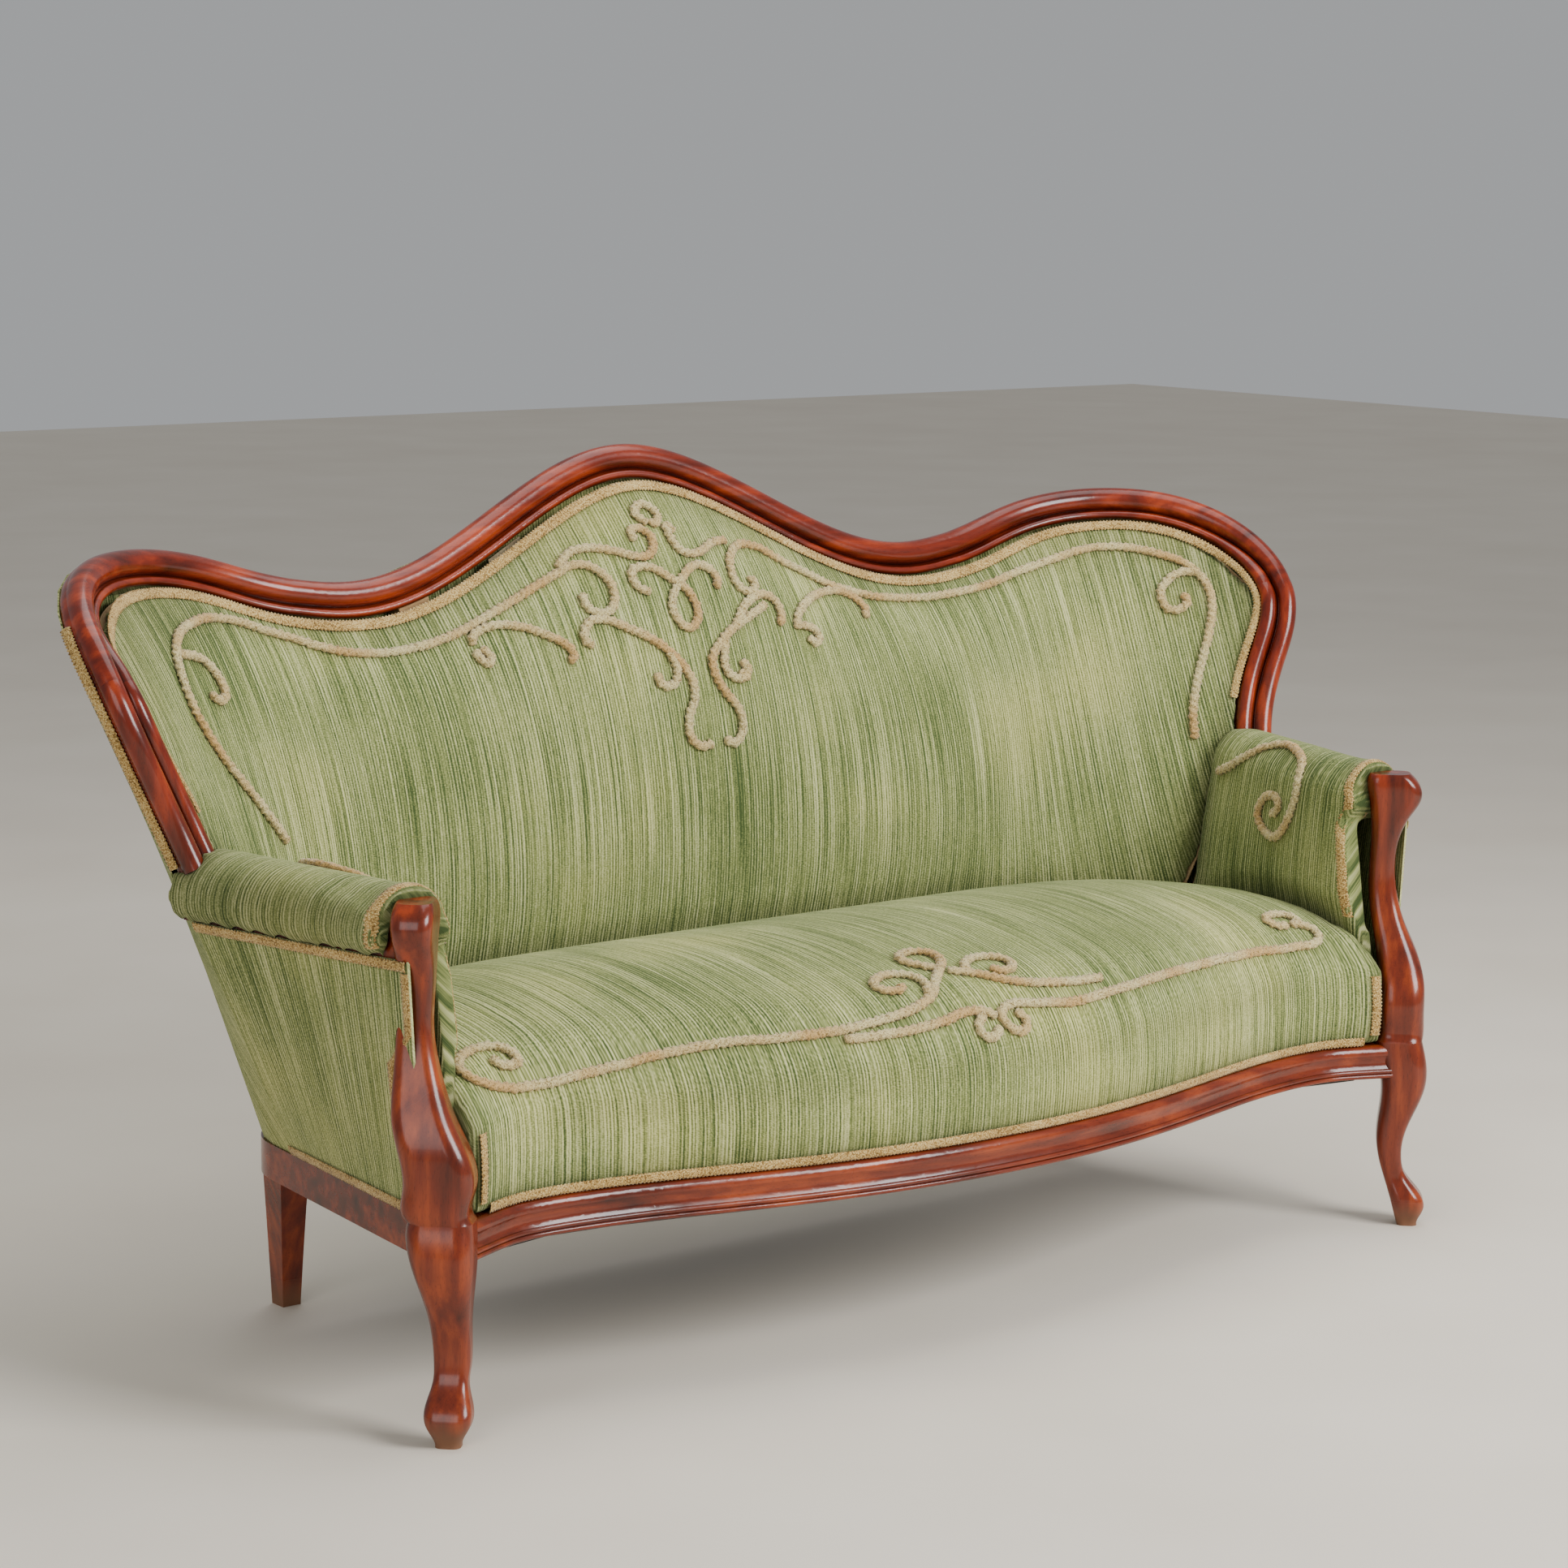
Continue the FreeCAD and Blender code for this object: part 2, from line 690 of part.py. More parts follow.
def column_top(place, edge):
    # Height where a column meets an edge of the outline
    point = column(abs(place))
    base = point(0.0).x
    lean = point(1.0).x - base
    best = None
    for (x1, z1), (x2, z2) in zip(edge, edge[1:]):
        d1 = x1 - base - lean * z1
        d2 = x2 - base - lean * z2
        if d1 == 0.0 or d1 * d2 < 0.0:
            z = z1 + (z2 - z1) * abs(d1) / (abs(d1) + abs(d2))
            best = z if best is None else max(best, z)
    return best if best is not None else edge[0][1]


pad_edge = outline_offset(wood_width + back_pad_frame_gap)
cover_edge = outline_offset(wood_outer_corner)
wood_inner_edge = outline_offset(wood_width)


def pad_top(place):
    # The pad's top follows the wood, then falls steadily beyond the turn of its rim
    size = min(abs(place), rim_turn_place)
    return column_top(size, pad_edge) - rim_fall * max(abs(place) - rim_turn_place, 0.0)


def pad_arc(place, inset=0.0):
    # Heights and forward offsets of a column of the pad: bottom, middle and top
    share = min(abs(place) / back_pad_side_place, 1.0)
    side = smooth_step(abs(place), rim_turn_place, back_pad_side_place)
    crown = back_pad_side_crown + (back_pad_crown - back_pad_side_crown) * (1.0 - share ** 2.4)
    foot = along(back_pad_foot, back_pad_side_rim, share ** 4)
    rim = along(back_pad_rim, back_pad_side_rim, side)
    top = pad_top(place) - inset
    bottom = back_pad_bottom + inset
    return ((bottom, foot - inset), ((bottom + top) / 2.0, crown - inset), (top, rim - inset))


def pad_front(place, z):
    # Forward offset of the pad's face at a place and height
    (z1, f1), (z2, f2), (z3, f3) = pad_arc(place)
    z = min(max(z, z1), z3)
    span = z3 - z1
    chord = along(f1, f3, (z - z1) / span)
    rise = f2 - (f1 + f3) / 2.0
    radius = (span * span / 4.0 + rise * rise) / (2.0 * max(rise, 0.01))
    reach = z - z2
    return chord + math.sqrt(radius * radius - reach * reach) - (radius - rise)


def back_pad_section(place, inset, rear_by):
    point = column(place)
    (z1, f1), (z2, f2), (z3, f3) = pad_arc(place, inset)
    return closed_wire([
        arc(point(z1, f1), point(z2, f2), point(z3, f3)),
        line(point(z3, f3), point(z3, rear_by)),
        line(point(z3, rear_by), point(z1, rear_by)),
        line(point(z1, rear_by), point(z1, f1)),
    ])


half_places = (0.14, 0.3, 0.48, 0.66, 0.84, 1.0, 1.12, 1.24, 1.34, 1.42, 1.49, 1.54, 1.58, back_pad_side_place)
column_places = [-place for place in reversed(half_places)] + [0.0] + list(half_places)


def back_pad_solid(inset, rear_by):
    return loft([back_pad_section(place, inset, rear_by) for place in column_places])


def slab(place_list, bottom, tops, forward_from, forward_to):
    wires = []
    for place, top in zip(place_list, tops):
        point = column(place)
        wires.append(polygon([point(bottom, forward_from), point(top, forward_from),
                              point(top, forward_to), point(bottom, forward_to)]))
    return loft(wires, len(wires) < 3)


def place_of_x(x, z):
    # Place of the straight middle's column through a distance from the middle
    return x / tub_start(z)


# The upright stands on the side rail and carries the foot of the back post
def upright_section(grow=0.0):
    foot = []
    for y_side, offset in ((1, upright_setback), (1, upright_setback + upright_width),
                           (-1, upright_setback + upright_width), (-1, upright_setback)):
        y = upright_y + y_side * (upright_depth / 2.0 + grow)
        side = -grow if offset == upright_setback else grow
        foot.append(vec(side_x(y, offset + side), y, seat_rail_top))
    head = []
    near = upright_joint_inset - grow
    far = upright_joint_inset + upright_joint_width + grow
    for inward_by, forward_by in ((near, -upright_joint_depth - grow), (far, -upright_joint_depth - grow),
                                  (far, upright_joint_depth + grow), (near, upright_joint_depth + grow)):
        head.append(frame_point(4.0, inward_by, forward_by))
    return [polygon(foot), polygon(head)]


rear_upright_right = loft(upright_section(), True)
upright_room_right = loft(upright_section(soft_clearance), True)
upright_top = frame_point(4.0, upright_joint_inset + upright_joint_width / 2.0, 0.0)
add_dowel(upright_top, joint_direction(3.99))
uprights = joined([rear_upright_right, mirrored(rear_upright_right)])

# Room of the show wood: what the soft layers of the back are cut by
def wood_room_section(place):
    reach = wood_width + 2.0 * soft_clearance
    return polygon([frame_point(place, -60.0, -40.0), frame_point(place, reach, -40.0),
                    frame_point(place, reach, 90.0), frame_point(place, -60.0, 90.0)])


wood_room_right = loft([wood_room_section(place) for place in places(1.0, 4.0, 36)], True)
seam_room_right = Part.makeBox(500.0, arm_seam_y + 500.0, arm_top - 200.0, vec(700.0, -500.0, 200.0))
back_rooms_right = joined([wood_room_right, seam_room_right, upright_room_right])
back_rooms = joined([back_rooms_right, mirrored(back_rooms_right)])

webbing_rear = back_timber_front + soft_clearance
webbing_front = webbing_rear + webbing_thickness
hessian_rear = webbing_front + 2.0 * soft_clearance
hessian_front = hessian_rear + hessian_thickness
pad_rear = hessian_front + soft_clearance
stuffing_inset = cover_thickness + soft_clearance
back_pad = back_pad_solid(0.0, pad_rear)
back_cover = back_pad.cut(back_pad_solid(cover_thickness, pad_rear - 4.0))
back_cover = main_solid(back_cover.cut(back_rooms))
back_stuffing = main_solid(back_pad_solid(stuffing_inset, pad_rear).cut(back_rooms))
hessian_tops = [pad_top(place) - stuffing_inset for place in column_places]
back_hessian = slab(column_places, back_pad_bottom + stuffing_inset, hessian_tops, hessian_rear, hessian_front)
back_hessian = main_solid(back_hessian.cut(back_rooms))


# Hidden timber of the back
stile_places = [place_of_x(stile_x - stile_width / 2.0, arm_end_height),
                place_of_x(stile_x + stile_width / 2.0, arm_end_height)]
back_stile_right = slab(stile_places, seat_rail_top, [crest_height, crest_height],
                        -wood_back, back_timber_front)
above_wood = joined([loft([polygon([frame_point(place, wood_width, -40.0), frame_point(place, wood_width, 60.0),
                                    frame_point(place, -200.0, 60.0), frame_point(place, -200.0, -40.0)])
                           for place in places(0.5, 1.2, 28)], True)])
back_stile_right = main_solid(back_stile_right.cut(above_wood))
stiles = joined([back_stile_right, mirrored(back_stile_right)])
cross_rail_bottom = cross_rail_top - cross_rail_height
middle_places = [-stile_places[0], 0.0, stile_places[0]]
back_cross_rail = slab(middle_places, cross_rail_bottom, [cross_rail_top] * 3, -wood_back, back_timber_front)
side_places = places(stile_places[0], back_side_rail_end, 12)
back_side_rail_right = slab(side_places, cross_rail_bottom, [cross_rail_top] * len(side_places),
                            -wood_back, back_timber_front)
back_side_rail_room = slab(side_places, cross_rail_bottom - soft_clearance,
                           [cross_rail_top + soft_clearance] * len(side_places),
                           -wood_back - soft_clearance, back_timber_front + soft_clearance)
back_cross_rail = main_solid(back_cross_rail.cut(stiles))
back_side_rail_right = main_solid(back_side_rail_right.cut(stiles).cut(uprights))

back_webbing = []
for webbing_place in back_webbing_places:
    half = webbing_width / 2.0 / tub_start_x
    edges = [webbing_place - half, webbing_place, webbing_place + half]
    tops = [column_top(edge, wood_inner_edge) - soft_clearance for edge in edges]
    back_webbing.append(slab(edges, cross_rail_bottom, tops, webbing_rear, webbing_front))
back_webbing = joined(back_webbing)


# Outside back cover: from the rails' outer line up to the back of the show wood
def outside_line(distance, offset):
    # A point of the rear and side rails' outer line, measured along it from the middle
    start, corner, run = side_line(offset)
    radius = rear_corner_radius - offset
    turn = math.acos(run.dot(vec(-1, 0, 0)))
    straight = corner.x - radius * math.tan(turn / 2.0)
    if distance <= straight:
        return vec(distance, corner.y, 0)
    centre = vec(straight, corner.y - radius, 0)
    angle = (distance - straight) / radius
    if angle <= turn:
        return centre + vec(math.sin(angle), math.cos(angle), 0) * radius
    left = distance - straight - turn * radius
    return centre + vec(math.sin(turn), math.cos(turn), 0) * radius - run * left


def outside_length(y):
    # Length of that line from the middle to a depth on the side rail
    start, corner, run = side_line(panel_setback)
    radius = rear_corner_radius - panel_setback
    turn = math.acos(run.dot(vec(-1, 0, 0)))
    tangent = radius * math.tan(turn / 2.0)
    return corner.x - tangent + turn * radius + (corner.y - y) / run.y - tangent


panel_edge_length = outside_length(arm_panel_back_y)
panel_edge_place = 1.575


def outside_section(place):
    side = -1.0 if place < 0 else 1.0
    point = column(place)
    top = column_top(place, cover_edge)
    line_point = outside_line(panel_edge_length * abs(place) / panel_edge_place, panel_setback)
    foot = vec(side * line_point.x, line_point.y, seat_rail_top)
    inner = point(top, -wood_back - soft_clearance)
    outer = point(top, -wood_back - soft_clearance - cover_thickness)
    return polygon([foot, foot + inner - outer, inner, outer])


outside_half = (0.25, 0.5, 0.75, 0.95, 1.08, 1.16, 1.24, 1.32, 1.40, 1.47, 1.53, 1.575, 1.61, 1.625)
outside_places = [-place for place in reversed(outside_half)] + [0.0] + list(outside_half)
outside_back_cover = loft([outside_section(place) for place in outside_places], True)
panel_front_room = Part.makeBox(600.0, arm_panel_back_y + 500.0, arm_end_height - 200.0,
                                vec(600.0, -500.0, 200.0))
outside_rooms = joined([panel_front_room, mirrored(panel_front_room)])
outside_back_cover = main_solid(outside_back_cover.cut(outside_rooms))


# Arms: a roll over the arm rail, a padded inner face and a flat outer panel
def arm_share(y):
    return (y - arm_front_y) / (arm_panel_back_y - arm_front_y)


def panel_top_x(y):
    return along(arm_panel_front_top_x, arm_panel_back_top_x, arm_share(y))


def arm_inner_x(y):
    return panel_top_x(y) - along(arm_pad_reach_front, arm_pad_reach_back, arm_share(y))


def arm_section(y, inset=0.0, opened=0.0):
    # Inner face, roll and underside of the arm pad at one depth
    outer = panel_top_x(y)
    inner = arm_inner_x(y)
    foot = side_x(y, seat_rail_thickness) + 1.0
    base = seat_rail_top + soft_clearance
    under = arm_panel_top + 1.0
    roll_inner = outer + arm_overhang - arm_roll_width
    roll_middle = outer + arm_overhang - arm_roll_width / 2.0
    roll_side = (arm_panel_top + arm_top) / 2.0 - 12.0
    pad_outer = inner + arm_pad_thickness + opened

    def at(x, z):
        return vec(x, y, z)

    foot_in = at(foot + inset, base)
    low = at(inner + inset, arm_seat_level)
    high = at(roll_inner + inset * 0.9, roll_side)
    crown = at(roll_middle, arm_top - inset)
    side = at(outer + arm_overhang - inset, roll_side)
    hem = at(outer + 4.0 - inset, under)
    back = [hem, at(outer + 4.0 - inset, under - opened), at(pad_outer, under - opened),
            at(pad_outer, arm_seat_level), at(foot + arm_pad_foot + opened, base),
            at(foot + arm_pad_foot + opened, base - opened), at(foot + inset, base - opened), foot_in]
    return closed_wire([
        arc(foot_in, at((foot + inner) / 2.0 + 6.0 + inset, (base + arm_seat_level) / 2.0), low),
        arc(low, at((inner + roll_inner) / 2.0 - 1.5 + inset, (arm_seat_level + roll_side) / 2.0), high),
        arc(high, at(roll_inner + 17.0 + inset * 0.6, arm_top - 17.0 - inset * 0.6), crown),
        arc(crown, at(outer + arm_overhang - 17.0 - inset * 0.6, arm_top - 17.0 - inset * 0.6), side),
        arc(side, at(outer + arm_overhang - 3.0 - inset, arm_panel_top + 12.0), hem),
    ] + lines(back))


def arm_solid(inset=0.0, opened=0.0, front_by=0.0, back_by=0.0):
    start = arm_front_y + front_by
    end = arm_seam_y - soft_clearance + back_by
    stations = [arm_section(start, inset + arm_end_round * 0.5, opened),
                arm_section(start + arm_end_round * 0.35, inset + arm_end_round * 0.15, opened),
                arm_section(start + arm_end_round, inset, opened)]
    stations.append(arm_section(end, inset, opened))
    return loft(stations, True)


def arm_rail_section(y, grow=0.0):
    outer = panel_top_x(y) - panel_thickness + grow
    inner = outer - arm_rail_width - 2 * grow
    low = arm_panel_top - grow
    high = arm_panel_top + arm_rail_height + grow
    return polygon([vec(inner, y, low), vec(outer, y, low), vec(outer, y, high), vec(inner, y, high)])


def arm_rail_solid(grow=0.0):
    return loft([arm_rail_section(y, grow) for y in (arm_rail_front_y, upright_y)], True)


arm_rail_right = arm_rail_solid().cut(joined([arm_post_right, rear_upright_right, back_post_right]))
arm_rail_right = main_solid(arm_rail_right)
add_dowel(vec(panel_top_x(arm_front_y) - panel_thickness - arm_rail_width / 2.0, arm_front_y - 8.0,
              arm_panel_top + arm_rail_height / 2.0), vec(0, 1, 0))

wood_grown = [show_wood_section(place, soft_clearance) for place in places(3.4, 4.0, 6)]
post_tail = show_wood_section(4.0, soft_clearance)
post_tail.translate(joint_direction(3.99) * 0.3)
post_room_right = loft(wood_grown + [post_tail])
arm_rooms = joined([corner_room_right, upright_room_right, post_room_right, back_side_rail_room])
arm_cover_right = arm_solid().cut(arm_solid(cover_thickness, 4.0, cover_thickness, 6.0))
arm_cover_right = main_solid(arm_cover_right.cut(arm_rooms).cut(arm_rail_solid(soft_clearance)))
arm_stuffing_right = arm_solid(stuffing_inset, 0.0, stuffing_inset)
arm_stuffing_right = main_solid(arm_stuffing_right.cut(arm_rooms).cut(arm_rail_solid(soft_clearance)))
arm_room_right = arm_solid(-soft_clearance, soft_clearance)


def panel_section(y):
    low = side_x(y, panel_setback)
    high = panel_top_x(y)
    base = seat_rail_top
    return polygon([vec(low, y, base), vec(high, y, arm_panel_top),
                    vec(high - panel_thickness, y, arm_panel_top), vec(low - panel_thickness, y, base)])


panel_front_y = arm_front_y - 50.0
outer_arm_cover_right = loft([panel_section(y) for y in (panel_front_y, arm_panel_back_y)], True)
outer_arm_cover_right = main_solid(outer_arm_cover_right.cut(joined([corner_room_right, upright_room_right])))


# Seat: stations run from the front border to the foot of the back pad
def seat_ends(share):
    x = share * seat_half_front
    front = vec(x, front_line_y(x) + seat_setback, 0)
    place = share * seat_rear_reach
    level = seat_back_height + 8.0
    rear = column(place)(level, pad_front(place, level) + seat_back_gap)
    return front, vec(rear.x, rear.y, 0)


def seat_section(share, inset=0.0, opened=0.0):
    front, rear = seat_ends(share)
    run = rear - front
    length = run.Length
    run.normalize()
    drop = seat_end_drop * share ** 4
    base = seat_rail_top + soft_clearance

    def at(depth, height):
        return front + run * depth + vec(0, 0, height)

    edge = at(inset, seat_edge_height - 0.3 * inset)
    roll = at(seat_roll_depth + 0.35 * inset, seat_roll_height - 0.6 * drop - 0.94 * inset)
    back = at(length - inset, seat_back_height - 0.3 * drop - inset)
    return closed_wire([
        arc(at(inset, base), at(inset - seat_border_bulge, (base + seat_edge_height) / 2.0), edge),
        arc(edge, at(seat_nose_depth + 0.8 * inset, seat_nose_height - 0.4 * drop - 0.6 * inset), roll),
        arc(roll, at(seat_crown_depth, seat_crown_height - drop - inset), back),
    ] + lines([back, at(length - inset, base - opened), at(inset, base - opened), at(inset, base)]))


seat_half = (0.1, 0.22, 0.36, 0.5, 0.63, 0.75, 0.85, 0.93, 1.0)
seat_places = [-place for place in reversed(seat_half)] + [0.0] + list(seat_half)


def seat_solid(inset=0.0, opened=0.0):
    return loft([seat_section(share, inset, opened) for share in seat_places])


def cavity_outline(grow, level):
    # Plan of the room for the springs, inside the seat rails
    points = []
    for share in places(-1.0, 1.0, 16):
        x = share * (cavity_half_width + grow)
        points.append(vec(x, front_line_y(x) + seat_rail_thickness - grow, level))
    rear = rear_rail_inner_y - 8.0 + grow
    for x, y in ((cavity_half_width + grow, cavity_side_y + grow), (cavity_shoulder_x + grow, rear),
                 (-cavity_shoulder_x - grow, rear), (-cavity_half_width - grow, cavity_side_y + grow)):
        points.append(vec(x, y, level))
    return points


hessian_bottom = spring_top + soft_clearance
seat_hessian = prism(cavity_outline(0.0, hessian_bottom), hessian_thickness)
cavity_top = hessian_bottom + hessian_thickness + soft_clearance
cavity = prism(cavity_outline(soft_clearance, seat_rail_top - 10.0), cavity_top - seat_rail_top + 10.0)
seat_rooms_right = joined([arm_room_right, corner_room_right, upright_room_right])
back_layers_room = slab(column_places, seat_rail_top - 20.0, [back_pad_bottom + 20.0] * len(column_places),
                        -90.0, pad_rear)
seat_rooms = joined([seat_rooms_right, mirrored(seat_rooms_right)])
back_room = joined([back_pad_solid(-soft_clearance, pad_rear - soft_clearance), back_layers_room])


def seated(shape):
    # The seat's layers end against the arms, the corner posts and the back
    return main_solid(main_solid(shape.cut(seat_rooms)).cut(back_room))


seat_cover = seated(seat_solid().cut(seat_solid(cover_thickness, 4.0)))
seat_stuffing = main_solid(seated(seat_solid(stuffing_inset)).cut(cavity))


# Springs on webbing, the dust cover below
def spring(x, y):
    low = rail_bottom
    waist = (low + spring_top) / 2.0
    wall = spring_wall
    profile = [vec(spring_radius, 0, low), vec(spring_waist_radius, 0, waist), vec(spring_radius, 0, spring_top),
               vec(spring_radius - wall, 0, spring_top), vec(spring_waist_radius - wall, 0, waist),
               vec(spring_radius - wall, 0, low)]
    solid = Part.Face(polygon(profile)).revolve(vec(0, 0, 0), vec(0, 0, 1), 360)
    solid.translate(vec(x, y, 0))
    return solid


seat_springs = joined([spring(x, y) for x in spring_columns for y in spring_rows])
webbing_top = rail_bottom
seat_webbing = []
for number in range(seat_webbing_columns):
    x = (number - (seat_webbing_columns - 1) / 2.0) * seat_webbing_pitch
    front = max(front_line_y(x - webbing_width / 2.0), front_line_y(x + webbing_width / 2.0)) + 12.0
    strip = Part.makeBox(webbing_width, rear_rail_y - 12.0 - front, webbing_thickness,
                         vec(x - webbing_width / 2.0, front, webbing_top - webbing_thickness))
    seat_webbing.append(strip)
for y in seat_webbing_row_positions:
    half = side_x(y + webbing_width / 2.0, 12.0)
    seat_webbing.append(Part.makeBox(2 * half, webbing_width, webbing_thickness,
                                     vec(-half, y - webbing_width / 2.0, webbing_top - 2 * webbing_thickness)))
seat_webbing = joined(seat_webbing)


def dust_outline(level):
    points = []
    for share in places(-1.0, 1.0, 16):
        x = share * (hollow_x + 70.0)
        points.append(vec(x, front_line_y(x) + 12.0, level))
    points.append(vec(side_x(side_front_y, 12.0), side_front_y, level))
    for share in places(1.0, 0.0, 8):
        point = outside_line(share * outside_length(0.0), 12.0)
        points.append(vec(point.x, point.y, level))
    for point in list(points[-2:-10:-1]):
        points.append(vec(-point.x, point.y, level))
    points.append(vec(-side_x(side_front_y, 12.0), side_front_y, level))
    return points


dust_level = webbing_top - 2 * webbing_thickness - hessian_thickness
dust_cover = prism(dust_outline(dust_level), hessian_thickness)
legs_grown = corner_loft(leg_stations, 1.0)
rear_leg_reach = rear_leg_top_width / 2.0 + 4.0
rear_leg_room = Part.makeBox(2 * rear_leg_reach, 2 * rear_leg_reach, 30.0,
                             vec(rear_leg_top_x - rear_leg_reach, rear_leg_top_y - rear_leg_reach,
                                 dust_level - 10.0))
leg_rooms = joined([legs_grown, mirrored(legs_grown), rear_leg_room, mirrored(rear_leg_room)])
dust_cover = main_solid(dust_cover.cut(leg_rooms))

# Braces and corner blocks
frame_corners = joined([front_rail, side_rail_right, mirrored(side_rail_right), front_leg_right,
                        mirrored(front_leg_right), rear_rail])
brace_bottom = seat_rail_top - brace_height
brace = Part.makeBox(brace_width, rear_rail_inner_y - bow_front_y, brace_height,
                     vec(brace_x - brace_width / 2.0, bow_front_y, brace_bottom))
brace_right = main_solid(brace.cut(front_rail))
seat_braces = joined([brace_right, mirrored(brace_right)])


def corner_block(corner, along_x, along_y, bite_x, bite_y, slope):
    # A triangle with its short sides against the rails
    leg = corner_block_leg
    base = vec(corner[0], corner[1], seat_rail_top - corner_block_height)

    def at(x, y):
        return base + vec(along_x * x, along_y * y, 0)

    points = [at(leg, -bite_y), at(slope, -bite_y), at(-bite_x, slope), at(-bite_x, leg), at(0, leg), at(leg, 0)]
    return prism(points, corner_block_height)


front_corner = (side_x(side_front_y, seat_rail_thickness), front_line_y(hollow_x) + seat_rail_thickness)
rear_corner = (side_x(rear_rail_inner_y, seat_rail_thickness), rear_rail_inner_y)
block_bite = seat_rail_thickness * 0.4
front_block = corner_block(front_corner, -1.0, 1.0, block_bite, seat_rail_thickness - 2.0, 0.0)
front_block = main_solid(front_block.cut(frame_corners))
rear_block = main_solid(corner_block(rear_corner, -1.0, -1.0, block_bite, block_bite, 20.0).cut(frame_corners))

screws = []
screw_holes = []
for corner, turn in ((front_corner, 1.0), (rear_corner, -1.0)):
    direction = vec(1.0, -turn, 0).normalize()
    across = vec(direction.y, -direction.x, 0)
    face = vec(corner[0] - corner_block_leg / 2.0, corner[1] + turn * corner_block_leg / 2.0,
               seat_rail_top - corner_block_height / 2.0)
    for side in (-1.0, 1.0):
        start = face + across * (side * corner_block_leg * 0.3)
        shank = Part.makeCylinder(screw_radius, screw_length, start, direction)
        head = Part.makeCone(screw_head_radius, screw_radius, screw_head_height, start, direction)
        hole = Part.makeCylinder(screw_radius + dowel_fit, screw_length + 1.0, start, direction)
        sink = Part.makeCone(screw_head_radius + dowel_fit, screw_radius + dowel_fit, screw_head_height,
                             start, direction)
        for shape, group in ((shank.fuse(head), screws), (hole, screw_holes), (sink, screw_holes)):
            group.append(shape)
            group.append(mirrored(shape))

# Every pin and screw has its hole in the timber that it joins
rail_run = (rail_line(1.9) - rail_line(1.8)).normalize()
rail_end = vec(toe_x - 52.0, front_line_y(toe_x - 52.0) + seat_rail_thickness / 2.0, rail_middle)
add_dowel(rail_end, rail_run)
add_dowel(vec(side_x(side_front_y, seat_rail_thickness / 2.0), side_front_y - 16.0, rail_middle),
          side_line(0.0)[2])
holes = joined(dowel_holes + screw_holes)


def drilled(shape):
    return main_solid(shape.cut(holes))


# Trims along the seams
def gimp_point(place, inward_by, lift):
    # A point on the pad's face beside the show wood
    flat = frame_point(place, inward_by, bead_root)
    start = tub_start(flat.z)
    side = -1.0 if flat.x < 0 else 1.0
    reach = side * flat.x - start
    if reach <= 0.0:
        size = side * flat.x / start
    else:
        size = 1.0 + math.degrees(math.atan2(reach, flat.y - back_line_y(flat.z) + tub_radius)) / 100.0
    forward = pad_front(size, flat.z) + gimp_gap + lift
    return column(side * size)(flat.z, forward)


def back_gimp_section(place):
    near = wood_width + gimp_wood_gap
    far = near + gimp_width
    low = gimp_point(place, near, 0.0)
    high = gimp_point(place, far, 0.0)
    lift = gimp_point(place, near, gimp_thickness) - low
    return polygon([low, high, high + lift, low + lift])


back_gimp = loft([back_gimp_section(place) for place in places(-gimp_end_place, gimp_end_place, 96)], True)
post_gimp_right = loft([polygon([frame_point(place, -gimp_gap, -wood_back - 2.0),
                                 frame_point(place, -gimp_gap, -wood_back - 2.0 + gimp_width),
                                 frame_point(place, -gimp_gap - gimp_thickness, -wood_back - 2.0 + gimp_width),
                                 frame_point(place, -gimp_gap - gimp_thickness, -wood_back - 2.0)])
                        for place in places(post_gimp_start_place, gimp_end_place, 20)], True)


def seat_front(share, height):
    # The seat's front border, moved out by the gap of the gimp
    front, rear = seat_ends(share)
    run = (rear - front).normalize()
    middle = (seat_rail_top + seat_edge_height) / 2.0
    half = (seat_edge_height - seat_rail_top) / 2.0
    bulge = seat_border_bulge * (1.0 - ((height - middle) / half) ** 2)
    return front, run, bulge


def seat_gimp_section(share):
    low = seat_rail_top + soft_clearance
    high = low + gimp_width
    points = []
    for height, lift in ((low, 0.0), (high, 0.0), (high, gimp_thickness), (low, gimp_thickness)):
        front, run, bulge = seat_front(share, height)
        points.append(front - run * (bulge + gimp_gap + lift) + vec(0, 0, height))
    return polygon(points)


seat_gimp = loft([seat_gimp_section(share) for share in places(-0.96, 0.96, 48)], True)
seat_gimp = main_solid(seat_gimp.cut(joined([corner_room_right, mirrored(corner_room_right)])))


def panel_strip(y, z1, z2):
    def at(z, lift):
        share = (z - seat_rail_top) / (arm_panel_top - seat_rail_top)
        x = along(side_x(y, panel_setback), panel_top_x(y), share)
        return vec(x + gimp_gap + lift, y, z)
    return polygon([at(z1, 0.0), at(z2, 0.0), at(z2, gimp_thickness), at(z1, gimp_thickness)])


strip_ys = (panel_front_y, arm_panel_back_y)
lower_strip = loft([panel_strip(y, seat_rail_top, seat_rail_top + gimp_width) for y in strip_ys], True)
upper_strip = loft([panel_strip(y, arm_panel_top - gimp_width, arm_panel_top) for y in strip_ys], True)
outer_arm_gimp_right = []
for strip in (lower_strip, upper_strip):
    outer_arm_gimp_right.append(main_solid(strip.cut(corner_room_right)))
outer_arm_gimp_right = joined(outer_arm_gimp_right)


# Strips beside the arm posts: over the arm's face and roll, and up the seat's corners
def arm_contour(y, lift):
    # Points round the arm from the seat level over the roll to its underside
    points = []
    for number, edge in enumerate(arm_section(y, -gimp_gap - lift).OrderedEdges[1:5]):
        run = edge.discretize(Number=8)
        points += run if number == 0 else run[1:]
    return points


